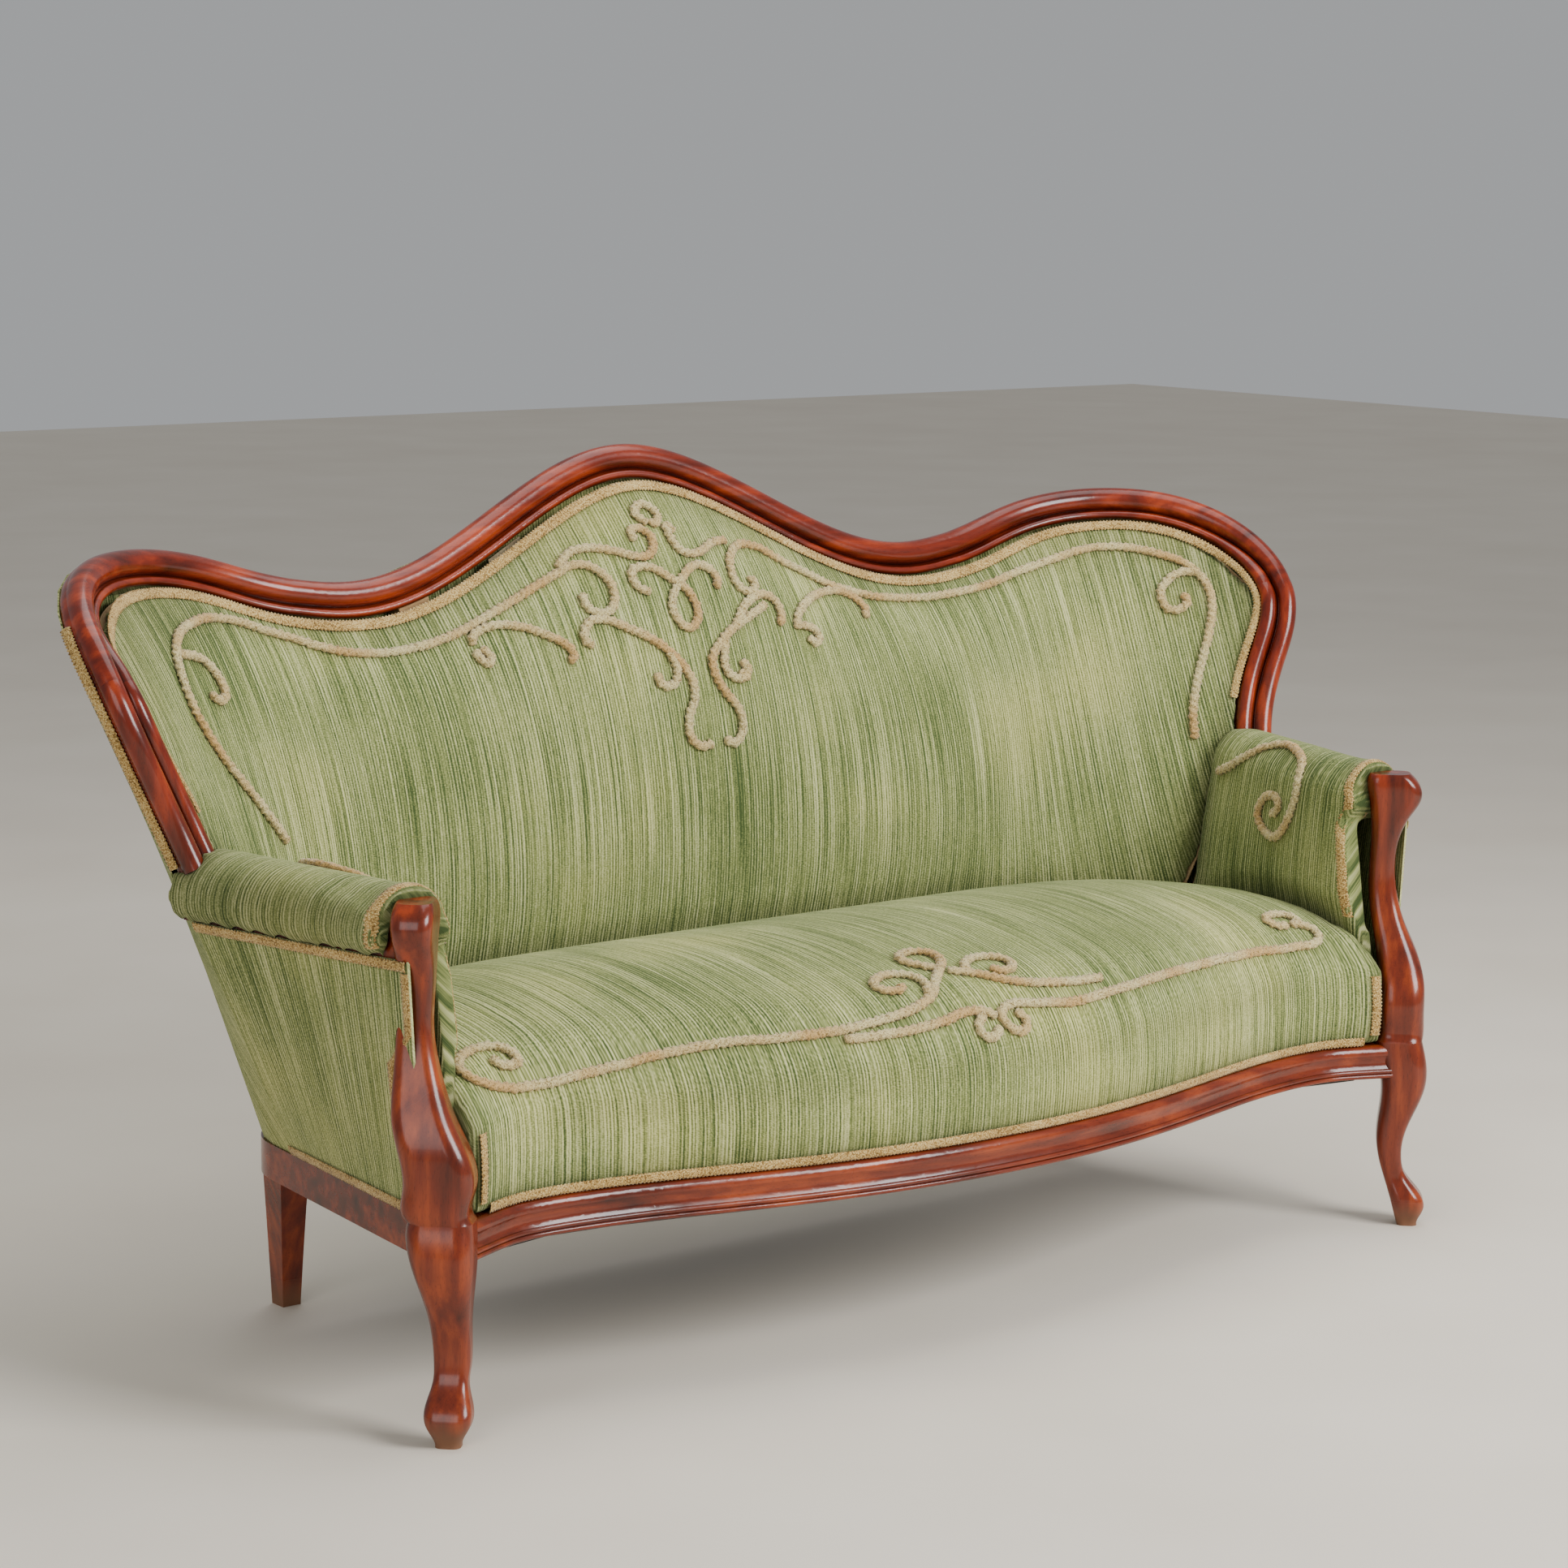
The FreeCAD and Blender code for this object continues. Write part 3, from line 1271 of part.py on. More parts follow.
arm_strip_near = arm_front_y + arm_gimp_setback
contours = [arm_contour(y, lift) for y, lift in (
    (arm_strip_near, 0.0), (arm_strip_near + gimp_width, 0.0),
    (arm_strip_near + gimp_width, gimp_thickness), (arm_strip_near, gimp_thickness))]
inner_arm_gimp_right = loft([polygon(corners_of) for corners_of in zip(*contours)], True)
inner_arm_gimp_right = main_solid(inner_arm_gimp_right.cut(corner_room_right))


def corner_strip_section(side, height):
    # Level section of the strip at the seat's corner
    points = []
    inner_share = corner_gimp_share - gimp_width / seat_half_front
    for share, lift in ((corner_gimp_share, 0.0), (inner_share, 0.0),
                        (inner_share, gimp_thickness), (corner_gimp_share, gimp_thickness)):
        front, run, bulge = seat_front(side * share, height)
        points.append(front - run * (bulge + gimp_gap + lift) + vec(0, 0, height))
    return polygon(points)


corner_heights = places(seat_rail_top + gimp_width + 1.0, corner_gimp_top, 6)
corner_strips = []
for side in (-1.0, 1.0):
    strip = loft([corner_strip_section(side, height) for height in corner_heights], True)
    strip = strip.cut(joined([corner_room_right, mirrored(corner_room_right)]))
    corner_strips.append(main_solid(strip))
seat_gimp = joined([seat_gimp] + corner_strips)


# Chenille cord sewn on the pads
def circle_height(first, middle, last, distance):
    # Height at a distance on the arc through three points of a plane
    (x1, z1), (x2, z2), (x3, z3) = first, middle, last
    double = 2.0 * (x1 * (z2 - z3) + x2 * (z3 - z1) + x3 * (z1 - z2))
    s1 = x1 * x1 + z1 * z1
    s2 = x2 * x2 + z2 * z2
    s3 = x3 * x3 + z3 * z3
    cx = (s1 * (z2 - z3) + s2 * (z3 - z1) + s3 * (z1 - z2)) / double
    cz = (s1 * (x3 - x2) + s2 * (x1 - x3) + s3 * (x2 - x1)) / double
    radius = math.hypot(x1 - cx, z1 - cz)
    return cz + math.sqrt(max(radius ** 2 - (distance - cx) ** 2, 0.0))


def back_face(place, z):
    return column(place)(z, pad_front(place, z))


def seat_face(x, y):
    share = x / seat_half_front
    for _ in range(6):
        front, rear = seat_ends(share)
        depth_share = (y - front.y) / (rear.y - front.y)
        share += (x - along(front.x, rear.x, depth_share)) / seat_half_front
    front, rear = seat_ends(share)
    length = (rear - front).Length
    depth = length * (y - front.y) / (rear.y - front.y)
    drop = seat_end_drop * share ** 4
    roll = (seat_roll_depth, seat_roll_height - 0.6 * drop)
    if depth < seat_roll_depth:
        height = circle_height((0.0, seat_edge_height), (seat_nose_depth, seat_nose_height - 0.4 * drop),
                               roll, depth)
    else:
        height = circle_height(roll, (seat_crown_depth, seat_crown_height - drop),
                               (length, seat_back_height - 0.3 * drop), depth)
    return vec(x, y, height)


def arm_face(y, z):
    # The pad's inner face at a depth and height
    outer = panel_top_x(y)
    inner = arm_inner_x(y)
    roll_inner = outer + arm_overhang - arm_roll_width
    roll_middle = roll_inner + arm_roll_width / 2.0
    roll_side = (arm_panel_top + arm_top) / 2.0 - 12.0
    if z < roll_side:
        middle = ((arm_seat_level + roll_side) / 2.0, -(inner + roll_inner) / 2.0 + 1.5)
        x = -circle_height((arm_seat_level, -inner), middle, (roll_side, -roll_inner), z)
    else:
        x = -circle_height((roll_side, -roll_inner), (arm_top - 17.0, -roll_inner - 17.0),
                           (arm_top, -roll_middle), z)
    return vec(x, y, z)


def cord(points, face, scale, reach):
    # A cord along points of a face; the scale makes both coordinates lengths
    curve = Part.BSplineCurve()
    curve.interpolate([vec(a * scale, b, 0) for a, b in points])
    count = max(int(curve.length() / cord_step), 6)
    flat = [(point.x / scale, point.y) for point in curve.toShape().discretize(Number=count)]
    centres = []
    normals = []
    step = 1.0
    for a, b in flat:
        run = face(a + step / scale, b) - face(a - step / scale, b)
        rise = face(a, b + step) - face(a, b - step)
        normal = run.cross(rise).normalize()
        if normal.dot(reach) < 0.0:
            normal = normal * -1.0
        centres.append(face(a, b) + normal * cord_gap)
        normals.append(normal)
    sections = []
    for number, (centre, normal) in enumerate(zip(centres, normals)):
        ahead = centres[min(number + 1, count - 1)] - centres[max(number - 1, 0)]
        side = ahead.cross(normal).normalize()
        wide = side * (cord_width / 2.0)
        narrow = side * (cord_crest / 2.0) + normal * cord_height
        sections.append(polygon([centre - wide, centre + wide, centre + narrow,
                                 centre + normal * cord_height - side * (cord_crest / 2.0)]))
    return loft(sections, True)


def scrolls(routes, face, scale, reach):
    # Each later cord ends where it meets an earlier one
    made = []
    for route in routes:
        piece = cord(route, face, scale, reach)
        if made:
            piece = main_solid(piece.cut(joined(made)))
        made.append(piece)
    return made


towards_front = vec(0, -1, 0)
back_scroll_left = joined(scrolls(back_scrolls_left, back_face, tub_start_x, towards_front))
back_scroll_centre = joined(scrolls(back_scrolls_centre, back_face, tub_start_x, towards_front))
back_scroll_right = joined(scrolls(back_scrolls_right, back_face, tub_start_x, towards_front))
seat_scroll = joined(scrolls(seat_scrolls, seat_face, 1.0, vec(0, 0, 1)))
arm_scroll_right = cord(arm_scroll, arm_face, 1.0, vec(-1, 0, 0.5))


# Report of the solids and one file for each piece
if __name__ == "__main__":
    os.makedirs("parts", exist_ok=True)
    pieces = {
        "crest_rail": drilled(crest_rail),
        "front_rail": drilled(front_rail),
        "rear_rail": drilled(rear_rail),
        "back_cross_rail": back_cross_rail,
        "seat_braces": seat_braces,
        "corner_blocks": joined([drilled(block) for block in (front_block, mirrored(front_block),
                                                             rear_block, mirrored(rear_block))]),
        "corner_block_screws": joined(screws),
        "frame_dowels": joined(dowels),
        "back_webbing": back_webbing,
        "back_hessian": back_hessian,
        "back_stuffing": back_stuffing,
        "back_cover": back_cover,
        "outside_back_cover": outside_back_cover,
        "back_gimp": back_gimp,
        "seat_webbing": seat_webbing,
        "seat_springs": seat_springs,
        "seat_hessian": seat_hessian,
        "seat_stuffing": seat_stuffing,
        "seat_cover": seat_cover,
        "seat_gimp": seat_gimp,
        "back_scroll_left": back_scroll_left,
        "back_scroll_centre": back_scroll_centre,
        "back_scroll_right": back_scroll_right,
        "seat_scroll": seat_scroll,
        "dust_cover": dust_cover,
    }
    sided = {
        "shoulder": drilled(shoulder_right),
        "back_post": drilled(back_post_right),
        "rear_upright": drilled(rear_upright_right),
        "back_stile": back_stile_right,
        "back_side_rail": back_side_rail_right,
        "front_leg": drilled(front_leg_right),
        "arm_post": drilled(arm_post_right),
        "side_rail": drilled(side_rail_right),
        "rear_leg": drilled(rear_leg_right),
        "arm_rail": drilled(arm_rail_right),
        "arm_stuffing": arm_stuffing_right,
        "arm_cover": arm_cover_right,
        "outer_arm_cover": outer_arm_cover_right,
        "outer_arm_gimp": outer_arm_gimp_right,
        "outer_post_gimp": post_gimp_right,
        "inner_arm_gimp": inner_arm_gimp_right,
        "arm_scroll": arm_scroll_right,
    }
    for name, shape in sided.items():
        pieces[name + "_right"] = shape
        pieces[name + "_left"] = mirrored(shape)
    for name, shape in pieces.items():
        print(name, shape.isValid(), len(shape.Solids), round(shape.Volume / 1e6, 4))
        shape.exportStep("parts/" + name + ".step")
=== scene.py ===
"""Cabriole sofa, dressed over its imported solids.

A show-wood frame with velvet pads, gimp braid and chenille cord.
"""
import json
import logging
import math
import time
from dataclasses import dataclass, field
from enum import Enum
from itertools import accumulate
from typing import Callable, Iterable, Optional

import bmesh
import bpy
import numpy as np
from mathutils import Matrix, Vector
from mathutils.bvhtree import BVHTree

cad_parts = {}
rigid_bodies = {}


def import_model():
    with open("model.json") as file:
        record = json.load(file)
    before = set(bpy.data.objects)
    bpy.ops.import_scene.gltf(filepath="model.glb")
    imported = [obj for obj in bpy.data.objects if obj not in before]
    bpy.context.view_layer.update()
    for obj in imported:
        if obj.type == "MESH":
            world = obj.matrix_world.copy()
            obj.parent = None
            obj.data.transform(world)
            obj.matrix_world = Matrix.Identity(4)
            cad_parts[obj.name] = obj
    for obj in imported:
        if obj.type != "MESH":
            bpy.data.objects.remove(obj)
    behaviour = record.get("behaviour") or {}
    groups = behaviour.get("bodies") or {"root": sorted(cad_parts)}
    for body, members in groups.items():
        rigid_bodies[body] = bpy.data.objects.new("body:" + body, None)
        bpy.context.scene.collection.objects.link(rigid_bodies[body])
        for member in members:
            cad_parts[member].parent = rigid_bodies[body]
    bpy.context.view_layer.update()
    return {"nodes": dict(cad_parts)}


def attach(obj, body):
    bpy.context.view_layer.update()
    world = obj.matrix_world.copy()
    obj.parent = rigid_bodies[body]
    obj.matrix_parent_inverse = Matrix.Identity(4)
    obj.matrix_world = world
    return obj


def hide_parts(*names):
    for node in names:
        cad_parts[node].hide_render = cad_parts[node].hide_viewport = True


for startup_object in list(bpy.data.objects):
    bpy.data.objects.remove(startup_object)
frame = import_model()

log = logging.getLogger("sofa")

Socket = bpy.types.NodeSocket
Colour = tuple[float, float, float, float]
Hit = Optional[tuple[Vector, Vector, Vector]]


class Side(Enum):
    """Half of the sofa, with the sign of its X."""

    LEFT = -1.0
    RIGHT = 1.0

    def node(self, stem: str) -> str:
        """Name of this side's node or piece."""
        return f"{stem}_{self.name.lower()}"


class Weave(Enum):
    """Which way the velvet's stripes run on a piece."""

    BACK = "back"
    SEAT = "seat"
    ARM = "arm"


def linear(red: int, green: int, blue: int) -> Colour:
    """Turn a colour of 0 to 255 per channel into a linear shader colour.

    Args:
        red: Red channel.
        green: Green channel.
        blue: Blue channel.

    Returns:
        The colour with an alpha of one.
    """
    def channel(value: int) -> float:
        """One channel of the colour."""
        share = value / 255.0
        return share / 12.92 if share <= 0.04045 else ((share + 0.055) / 1.055) ** 2.4
    return channel(red), channel(green), channel(blue), 1.0


def grey(value: float) -> Colour:
    """A grey shader colour, also used for plain masks."""
    return value, value, value, 1.0


def smooth_step(value: float, start: float, end: float) -> float:
    """Smooth rise from nought at start to one at end."""
    share = min(max((value - start) / (end - start), 0.0), 1.0)
    return share * share * (3.0 - 2.0 * share)


def curve_point(curves: tuple, place: float) -> tuple[float, float]:
    """Point of a line of joined Bezier curves that is mirrored about its start.

    Args:
        curves: The curves' four points each.
        place: Number of the curve plus the share along it, negative on the left.

    Returns:
        Both coordinates, the first with the sign of the place.
    """
    size = abs(place)
    number = min(int(size), len(curves) - 1)
    share = size - number
    rest = 1.0 - share
    weights = (rest ** 3, 3 * rest ** 2 * share, 3 * rest * share ** 2, share ** 3)
    x, y = (sum(w * point[axis] for w, point in zip(weights, curves[number])) for axis in (0, 1))
    return math.copysign(x, place) if place else 0.0, y


class Recipe:
    """A material's node tree, built one node at a time."""

    def __init__(self, name: str) -> None:
        """Start an empty tree.

        Args:
            name: The material's name.
        """
        self.material = bpy.data.materials.new(name)
        self.material.use_nodes = True
        self.tree = self.material.node_tree
        self.tree.nodes.clear()

    def add(self, kind: str, settings: Optional[dict] = None, **inputs: object) -> bpy.types.Node:
        """Add a node.

        Args:
            kind: Node type without its ShaderNode prefix.
            settings: Attributes of the node.
            **inputs: Values or output sockets by input name, with underscores for spaces; a name of
                "i" and a digit picks the input by its number.

        Returns:
            The node.
        """
        made = self.tree.nodes.new("ShaderNode" + kind)
        for key, value in (settings or {}).items():
            setattr(made, key, value)
        for key, value in inputs.items():
            socket = made.inputs[int(key[1:])] if key[0] == "i" and key[1:].isdigit() else (
                made.inputs[key.replace("_", " ")])
            if isinstance(value, Socket):
                self.tree.links.new(value, socket)
            else:
                socket.default_value = value
        return made

    def maths(self, operation: str, first: object, second: object = 0.0) -> Socket:
        """Output of a math node of two inputs."""
        return self.add("Math", {"operation": operation}, i0=first, i1=second).outputs[0]

    def weighted(self, *terms: tuple[Socket, float], start: float = 0.0) -> Socket:
        """Sum of values, each times its weight.

        Args:
            *terms: Value and weight.
            start: Constant that is added.

        Returns:
            The sum's socket.
        """
        parts = [self.maths("MULTIPLY", source, weight) for source, weight in terms]
        total = parts[0]
        for part in parts[1:] + ([start] if start else []):
            total = self.maths("ADD", total, part)
        return total

    def stretched(self, source: Socket, scale: tuple[float, float, float]) -> Socket:
        """The coordinates scaled by that much on each axis."""
        return self.add("Mapping", Vector=source, Scale=scale).outputs[0]

    def noise(self, where: Socket, scale: float, detail: float = 2.0) -> Socket:
        """A noise value over those coordinates."""
        return self.add("TexNoise", Vector=where, Scale=scale, Detail=detail).outputs["Fac"]

    def mask(self, source: Socket, low: float, high: float, first: float = 0.0,
             last: float = 1.0) -> Socket:
        """A grey that goes from first to last while a value goes from low to high."""
        return self.ramp(source, (low, grey(first)), (high, grey(last)))

    def ramp(self, source: Socket, *stops: tuple[float, tuple]) -> Socket:
        """Colours picked by a value.

        Args:
            source: Value from nought to one.
            *stops: Position and colour of each stop.

        Returns:
            The colour socket.
        """
        made = self.add("ValToRGB", Fac=source)
        elements = made.color_ramp.elements
        while len(elements) < len(stops):
            elements.new(0.5)
        for element, (place, colour) in zip(elements, stops):
            element.position, element.color = place, colour
        return made.outputs["Color"]

    def mix(self, share: object, first: object, second: object, blend: str = "MIX") -> Socket:
        """Two colours mixed by a share."""
        made = self.add("Mix", {"data_type": "RGBA", "blend_type": blend}, i0=share, i6=first, i7=second)
        return made.outputs[2]

    def bump(self, height: Socket, strength: float, distance: float) -> Socket:
        """A bumped normal from a height."""
        return self.add("Bump", Height=height, Strength=strength, Distance=distance).outputs["Normal"]

    def finish(self, colour: object, roughness: object, normal: Socket,
               **constants: object) -> bpy.types.Material:
        """Close the tree with its shader.

        Args:
            colour: Base colour, or a socket of it.
            roughness: Roughness, or a socket of it.
            normal: Bumped normal.
            **constants: Fixed values of the shader's other sockets.

        Returns:
            The material.
        """
        shader = self.add("BsdfPrincipled", Base_Color=colour, Roughness=roughness, Normal=normal,
                          **constants)
        self.add("OutputMaterial", Surface=shader.outputs[0])
        return self.material


@dataclass(frozen=True)
class Velvet:
    """Worn ribbed velvet: pale and dark warp stripes, thin patches, a soft sheen and painted shade where it
    comes near other parts.
    """

    name: str = "sofa_velvet"
    dark: Colour = linear(66, 82, 44)
    middle: Colour = linear(132, 140, 84)
    pale: Colour = linear(196, 196, 142)
    worn: Colour = linear(190, 178, 116)
    bloom: float = 0.28

    def build(self) -> bpy.types.Material:
        """The velvet's material."""
        r = Recipe(self.name)
        cloth = r.add("UVMap", {"uv_map": "fabric"}).outputs[0]
        place = r.add("TexCoord").outputs["Object"]
        # painted shade: the pad's closeness to other parts, stored on its points
        shade_gap = r.add("Attribute", {"attribute_name": "seam"}).outputs["Fac"]
        ribs = r.noise(r.stretched(cloth, (300.0, 4.0, 1.0)), 1.0, 3.0)
        threads = r.noise(r.stretched(cloth, (640.0, 90.0, 1.0)), 1.0, 2.0)
        picks = r.noise(r.stretched(cloth, (300.0, 700.0, 1.0)), 1.0, 1.0)
        bands = r.noise(r.stretched(cloth, (42.0, 1.2, 1.0)), 1.0, 2.0)
        clouds = r.noise(place, 3.2, 4.0)
        cords = r.add("TexWave", {"bands_direction": "X"}, Vector=r.stretched(cloth, (1.0, 0.04, 1.0)),
                      Scale=66.0, Distortion=3.0, Detail=2.0, Detail_Scale=1.6).outputs["Fac"]
        stripe = r.weighted((ribs, 0.52), (threads, 0.2), (cords, 0.13), (picks, 0.27), (bands, 0.12),
                            (clouds, 0.3), start=-0.215)
        colour = r.ramp(stripe, (0.42, self.dark), (0.55, self.middle), (0.69, self.pale))
        worn = r.mix(0.5, colour, self.worn, "OVERLAY")
        colour = r.mix(r.mask(clouds, 0.48, 0.66, last=0.55), colour, worn)
        # painted shade: the velvet darkens to about half where it comes near the wood and other parts
        colour = r.mix(1.0, colour, r.mask(shade_gap, 0.0, 0.8, first=0.52), "MULTIPLY")
        height = r.weighted((cords, 0.5), (picks, 0.9))
        return r.finish(colour, 0.86, r.bump(height, 0.75, 0.0014), Specular_IOR_Level=0.12,
                        Sheen_Weight=self.bloom, Sheen_Roughness=0.35, Sheen_Tint=linear(214, 222, 172))


@dataclass(frozen=True)
class Braid:
    """Looped gimp braid in cream and gold."""

    name: str = "sofa_gimp"
    deep: Colour = linear(104, 78, 38)
    gold: Colour = linear(186, 152, 90)
    cream: Colour = linear(226, 206, 150)

    def build(self) -> bpy.types.Material:
        """The braid's material."""
        r = Recipe(self.name)
        run = r.add("UVMap", {"uv_map": "fabric"}).outputs[0]
        loops = r.add("TexVoronoi", {"feature": "F1"}, Vector=run, Scale=520.0, Randomness=0.75)
        fuzz = r.noise(run, 900.0, 2.0)
        tone = r.noise(run, 14.0, 2.0)
        value = r.weighted((loops.outputs["Distance"], -0.7), (fuzz, 0.5), (tone, 0.35), start=0.295)
        colour = r.ramp(value, (0.12, self.deep), (0.38, self.gold), (0.66, self.cream))
        return r.finish(colour, 0.85, r.bump(value, 0.9, 0.0012), Specular_IOR_Level=0.15,
                        Sheen_Weight=0.25, Sheen_Roughness=0.4)


@dataclass(frozen=True)
class Chenille:
    """Fuzzy two-ply cord, cream with peach and gold stretches."""

    name: str = "sofa_chenille"
    shade: Colour = linear(126, 104, 60)
    peach: Colour = linear(206, 168, 108)
    cream: Colour = linear(220, 204, 148)

    def build(self) -> bpy.types.Material:
        """The cord's material."""
        r = Recipe(self.name)
        run = r.add("UVMap", {"uv_map": "fabric"}).outputs[0]
        tone = r.noise(r.stretched(run, (1.0, 0.0, 1.0)), 9.0, 2.0)
        pile = r.noise(run, 780.0, 3.0)
        tuft = r.add("TexVoronoi", {"feature": "F1"}, Vector=run, Scale=430.0).outputs["Distance"]
        value = r.weighted((pile, 0.9), (tuft, -0.5), start=0.3)
        base = r.mix(r.mask(tone, 0.42, 0.6), self.cream, self.peach)
        colour = r.mix(r.mask(value, 0.25, 0.55, first=1.0, last=0.0), base, self.shade)
        return r.finish(colour, 0.9, r.bump(value, 1.0, 0.0016), Specular_IOR_Level=0.1,
                        Sheen_Weight=0.4, Sheen_Roughness=0.4)


@dataclass(frozen=True)
class Mahogany:
    """Polished mahogany with a grain along one axis, painted shade in its grooves, a painted highlight on
    its highest parts and wear at its feet.
    """

    name: str
    grain: tuple[float, float, float]
    deep: Colour = linear(44, 12, 6)
    red: Colour = linear(108, 37, 13)
    bright: Colour = linear(160, 68, 24)
    lit: Colour = linear(212, 116, 46)
    bare: Colour = linear(122, 84, 58)

    def build(self) -> bpy.types.Material:
        """The wood's material."""
        r = Recipe(self.name)
        place = r.add("TexCoord").outputs["Object"]
        along = r.stretched(place, self.grain)
        figure = r.noise(along, 9.0, 5.0)
        pores = r.noise(r.stretched(place, tuple(6.0 * g for g in self.grain)), 26.0, 2.0)
        clouds = r.noise(place, 5.0, 3.0)
        value = r.weighted((figure, 0.6), (clouds, 0.4))
        colour = r.ramp(value, (0.3, self.deep), (0.5, self.red), (0.68, self.bright))
        colour = r.mix(0.6, colour, r.mask(pores, 0.3, 0.42, first=0.35), "MULTIPLY")
        # painted shade: ambient occlusion darkens the wood in its grooves and where it meets other parts
        ambient_shade = r.add("AmbientOcclusion", {"samples": 6}, Distance=0.03).outputs["AO"]
        groove_shade = r.ramp(ambient_shade, (0.35, (0.22, 0.2, 0.2, 1.0)), (0.85, grey(1.0)))
        colour = r.mix(0.85, colour, groove_shade, "MULTIPLY")
        height = r.add("SeparateXYZ", Vector=place).outputs["Z"]
        # painted highlight: the wood above about 0.85 m is lightened towards the lit colour
        top_highlight = r.mask(r.weighted((height, 1.0), (figure, 0.5)), 0.85, 1.0, last=0.42)
        colour = r.mix(top_highlight, colour, r.mix(0.8, colour, self.lit, "OVERLAY"))
        wear = r.mask(r.weighted((height, 1.0), (clouds, 0.03)), 0.022, 0.055, first=1.0, last=0.0)
        colour = r.mix(r.maths("MULTIPLY", wear, 0.85), colour, self.bare)
        gloss = r.weighted((clouds, 0.22), (wear, 0.45), start=0.14)
        return r.finish(colour, gloss, r.bump(figure, 0.12, 0.0008), Specular_IOR_Level=0.35,
                        Coat_Weight=0.22, Coat_Roughness=0.1)


@dataclass(frozen=True)
class Plain:
    """A duller stuff: hidden timber, hessian, webbing, spring or screw steel."""

    name: str
    dark: Colour
    light: Colour
    stretch: tuple[float, float, float] = (1.0, 1.0, 1.0)
    fineness: float = 40.0
    roughness: float = 0.8
    metal: float = 0.0

    def build(self) -> bpy.types.Material:
        """The stuff's material."""
        r = Recipe(self.name)
        place = r.stretched(r.add("TexCoord").outputs["Object"], self.stretch)
        fine = r.noise(place, self.fineness, 4.0)
        broad = r.noise(place, self.fineness / 9.0, 2.0)
        value = r.weighted((fine, 0.6), (broad, 0.4))
        colour = r.ramp(value, (0.35, self.dark), (0.65, self.light))
        rough = r.weighted((fine, 0.2), start=self.roughness - 0.1)
        return r.finish(colour, rough, r.bump(value, 0.4, 0.001), Metallic=self.metal)


@dataclass(frozen=True)
class BackShape:
    """The back's outline, its curved surface and the columns that stand on it, in metres."""

    outline: tuple = (
        ((0.0, 1.087), (0.160, 1.087), (0.320, 0.927), (0.480, 0.927)),
        ((0.480, 0.927), (0.635, 0.927), (0.679, 0.990), (0.865, 0.990)),
        ((0.865, 0.990), (0.986, 0.990), (1.015, 0.946), (1.015, 0.889)),
        ((1.015, 0.889), (1.015, 0.803), (0.95836, 0.743), (0.927, 0.631)),
    )
    foot_y: float = 0.097
    rake: float = 0.30
    tub_radius: float = 0.463
    tub_start: float = 0.520
    tub_flare: float = 0.333
    flare_from: float = 0.631
    wood_width: float = 0.048
    wood_back: float = 0.014
    turn: tuple[float, float, float] = (2.3, 3.3, 0.6)

    def start_of_tub(self, z: float) -> float:
        """Distance from the middle where the back starts to turn forward at a height."""
        return self.tub_start + self.tub_flare * (z - self.flare_from)

    def line_y(self, z: float) -> float:
        """Depth of the straight middle at a height."""
        return self.foot_y + self.rake * z

    def surface(self, x: float, z: float) -> Vector:
        """Point of the back's surface."""
        reach = min(max(abs(x) - self.start_of_tub(z), 0.0), 0.985 * self.tub_radius)
        depth = math.sqrt(self.tub_radius ** 2 - reach ** 2) - self.tub_radius
        return Vector((x, self.line_y(z) + depth, z))

    def edge(self, place: float) -> tuple[float, float]:
        """Distance from the middle and height of the outline, 0 at the crest to 4 at the arm."""
        return curve_point(self.outline, place)

    def frame_at(self, place: float) -> tuple[Vector, Vector, Vector]:
        """Origin, inward and forward direction of the show wood.

        Args:
            place: Place along the outline.

        Returns:
            The three vectors.
        """
        step = 0.002
        x, z = self.edge(place)
        low = min(max(place - step, -4.0), 4.0 - 2 * step)
        run = (self.surface(*self.edge(low + 2 * step)) - self.surface(*self.edge(low))).normalized()
        across = self.surface(x + 0.001, z) - self.surface(x - 0.001, z)
        rise = self.surface(x, z + 0.001) - self.surface(x, z - 0.001)
        square = across.cross(rise).normalized()
        share = self.turn[2] * smooth_step(abs(place), self.turn[0], self.turn[1])
        forward = square * (1.0 - share) + Vector((0.0, -1.0, self.rake)).normalized() * share
        inward = run.cross(forward).normalized()
        return self.surface(x, z), inward, inward.cross(run).normalized()

    def column(self, place: float, z: float) -> tuple[Vector, Vector]:
        """Foot point on the surface and forward direction of a column at a height.

        Args:
            place: 0 in the middle, 1 where the ends start, 2 a hundred degrees further.
            z: Height.

        Returns:
            The point and its forward direction.
        """
        side = -1.0 if place < 0 else 1.0
        angle = math.radians(max(abs(place) - 1.0, 0.0) * 100.0)
        x = min(abs(place), 1.0) * self.start_of_tub(z) + self.tub_radius * math.sin(angle)
        y = self.line_y(z) - self.tub_radius * (1.0 - math.cos(angle))
        return Vector((side * x, y, z)), Vector((-side * math.sin(angle), -math.cos(angle), 0.0))

    def length_at(self, point: Vector) -> float:
        """Signed length of cloth from the middle to a point of the back.

        Args:
            point: The point.

        Returns:
            The length, negative on the left.
        """
        side = -1.0 if point.x < 0 else 1.0
        start = self.start_of_tub(point.z)
        reach = abs(point.x) - start
        if reach <= 0.0:
            return point.x
        depth = point.y - self.line_y(point.z) + self.tub_radius
        return side * (start + 0.43 * math.atan2(reach, max(depth, 1e-4)))


BACK = BackShape()


def node_bvh(names: Iterable[str]) -> BVHTree:
    """Search tree over several nodes' meshes.

    Args:
        names: The nodes.

    Returns:
        The tree.
    """
    points: list = []
    faces: list = []
    for name in names:
        mesh = frame["nodes"][name].data
        start = len(points)
        points += [vertex.co.copy() for vertex in mesh.vertices]
        faces += [tuple(start + index for index in polygon.vertices) for polygon in mesh.polygons]
    return BVHTree.FromPolygons(points, faces)


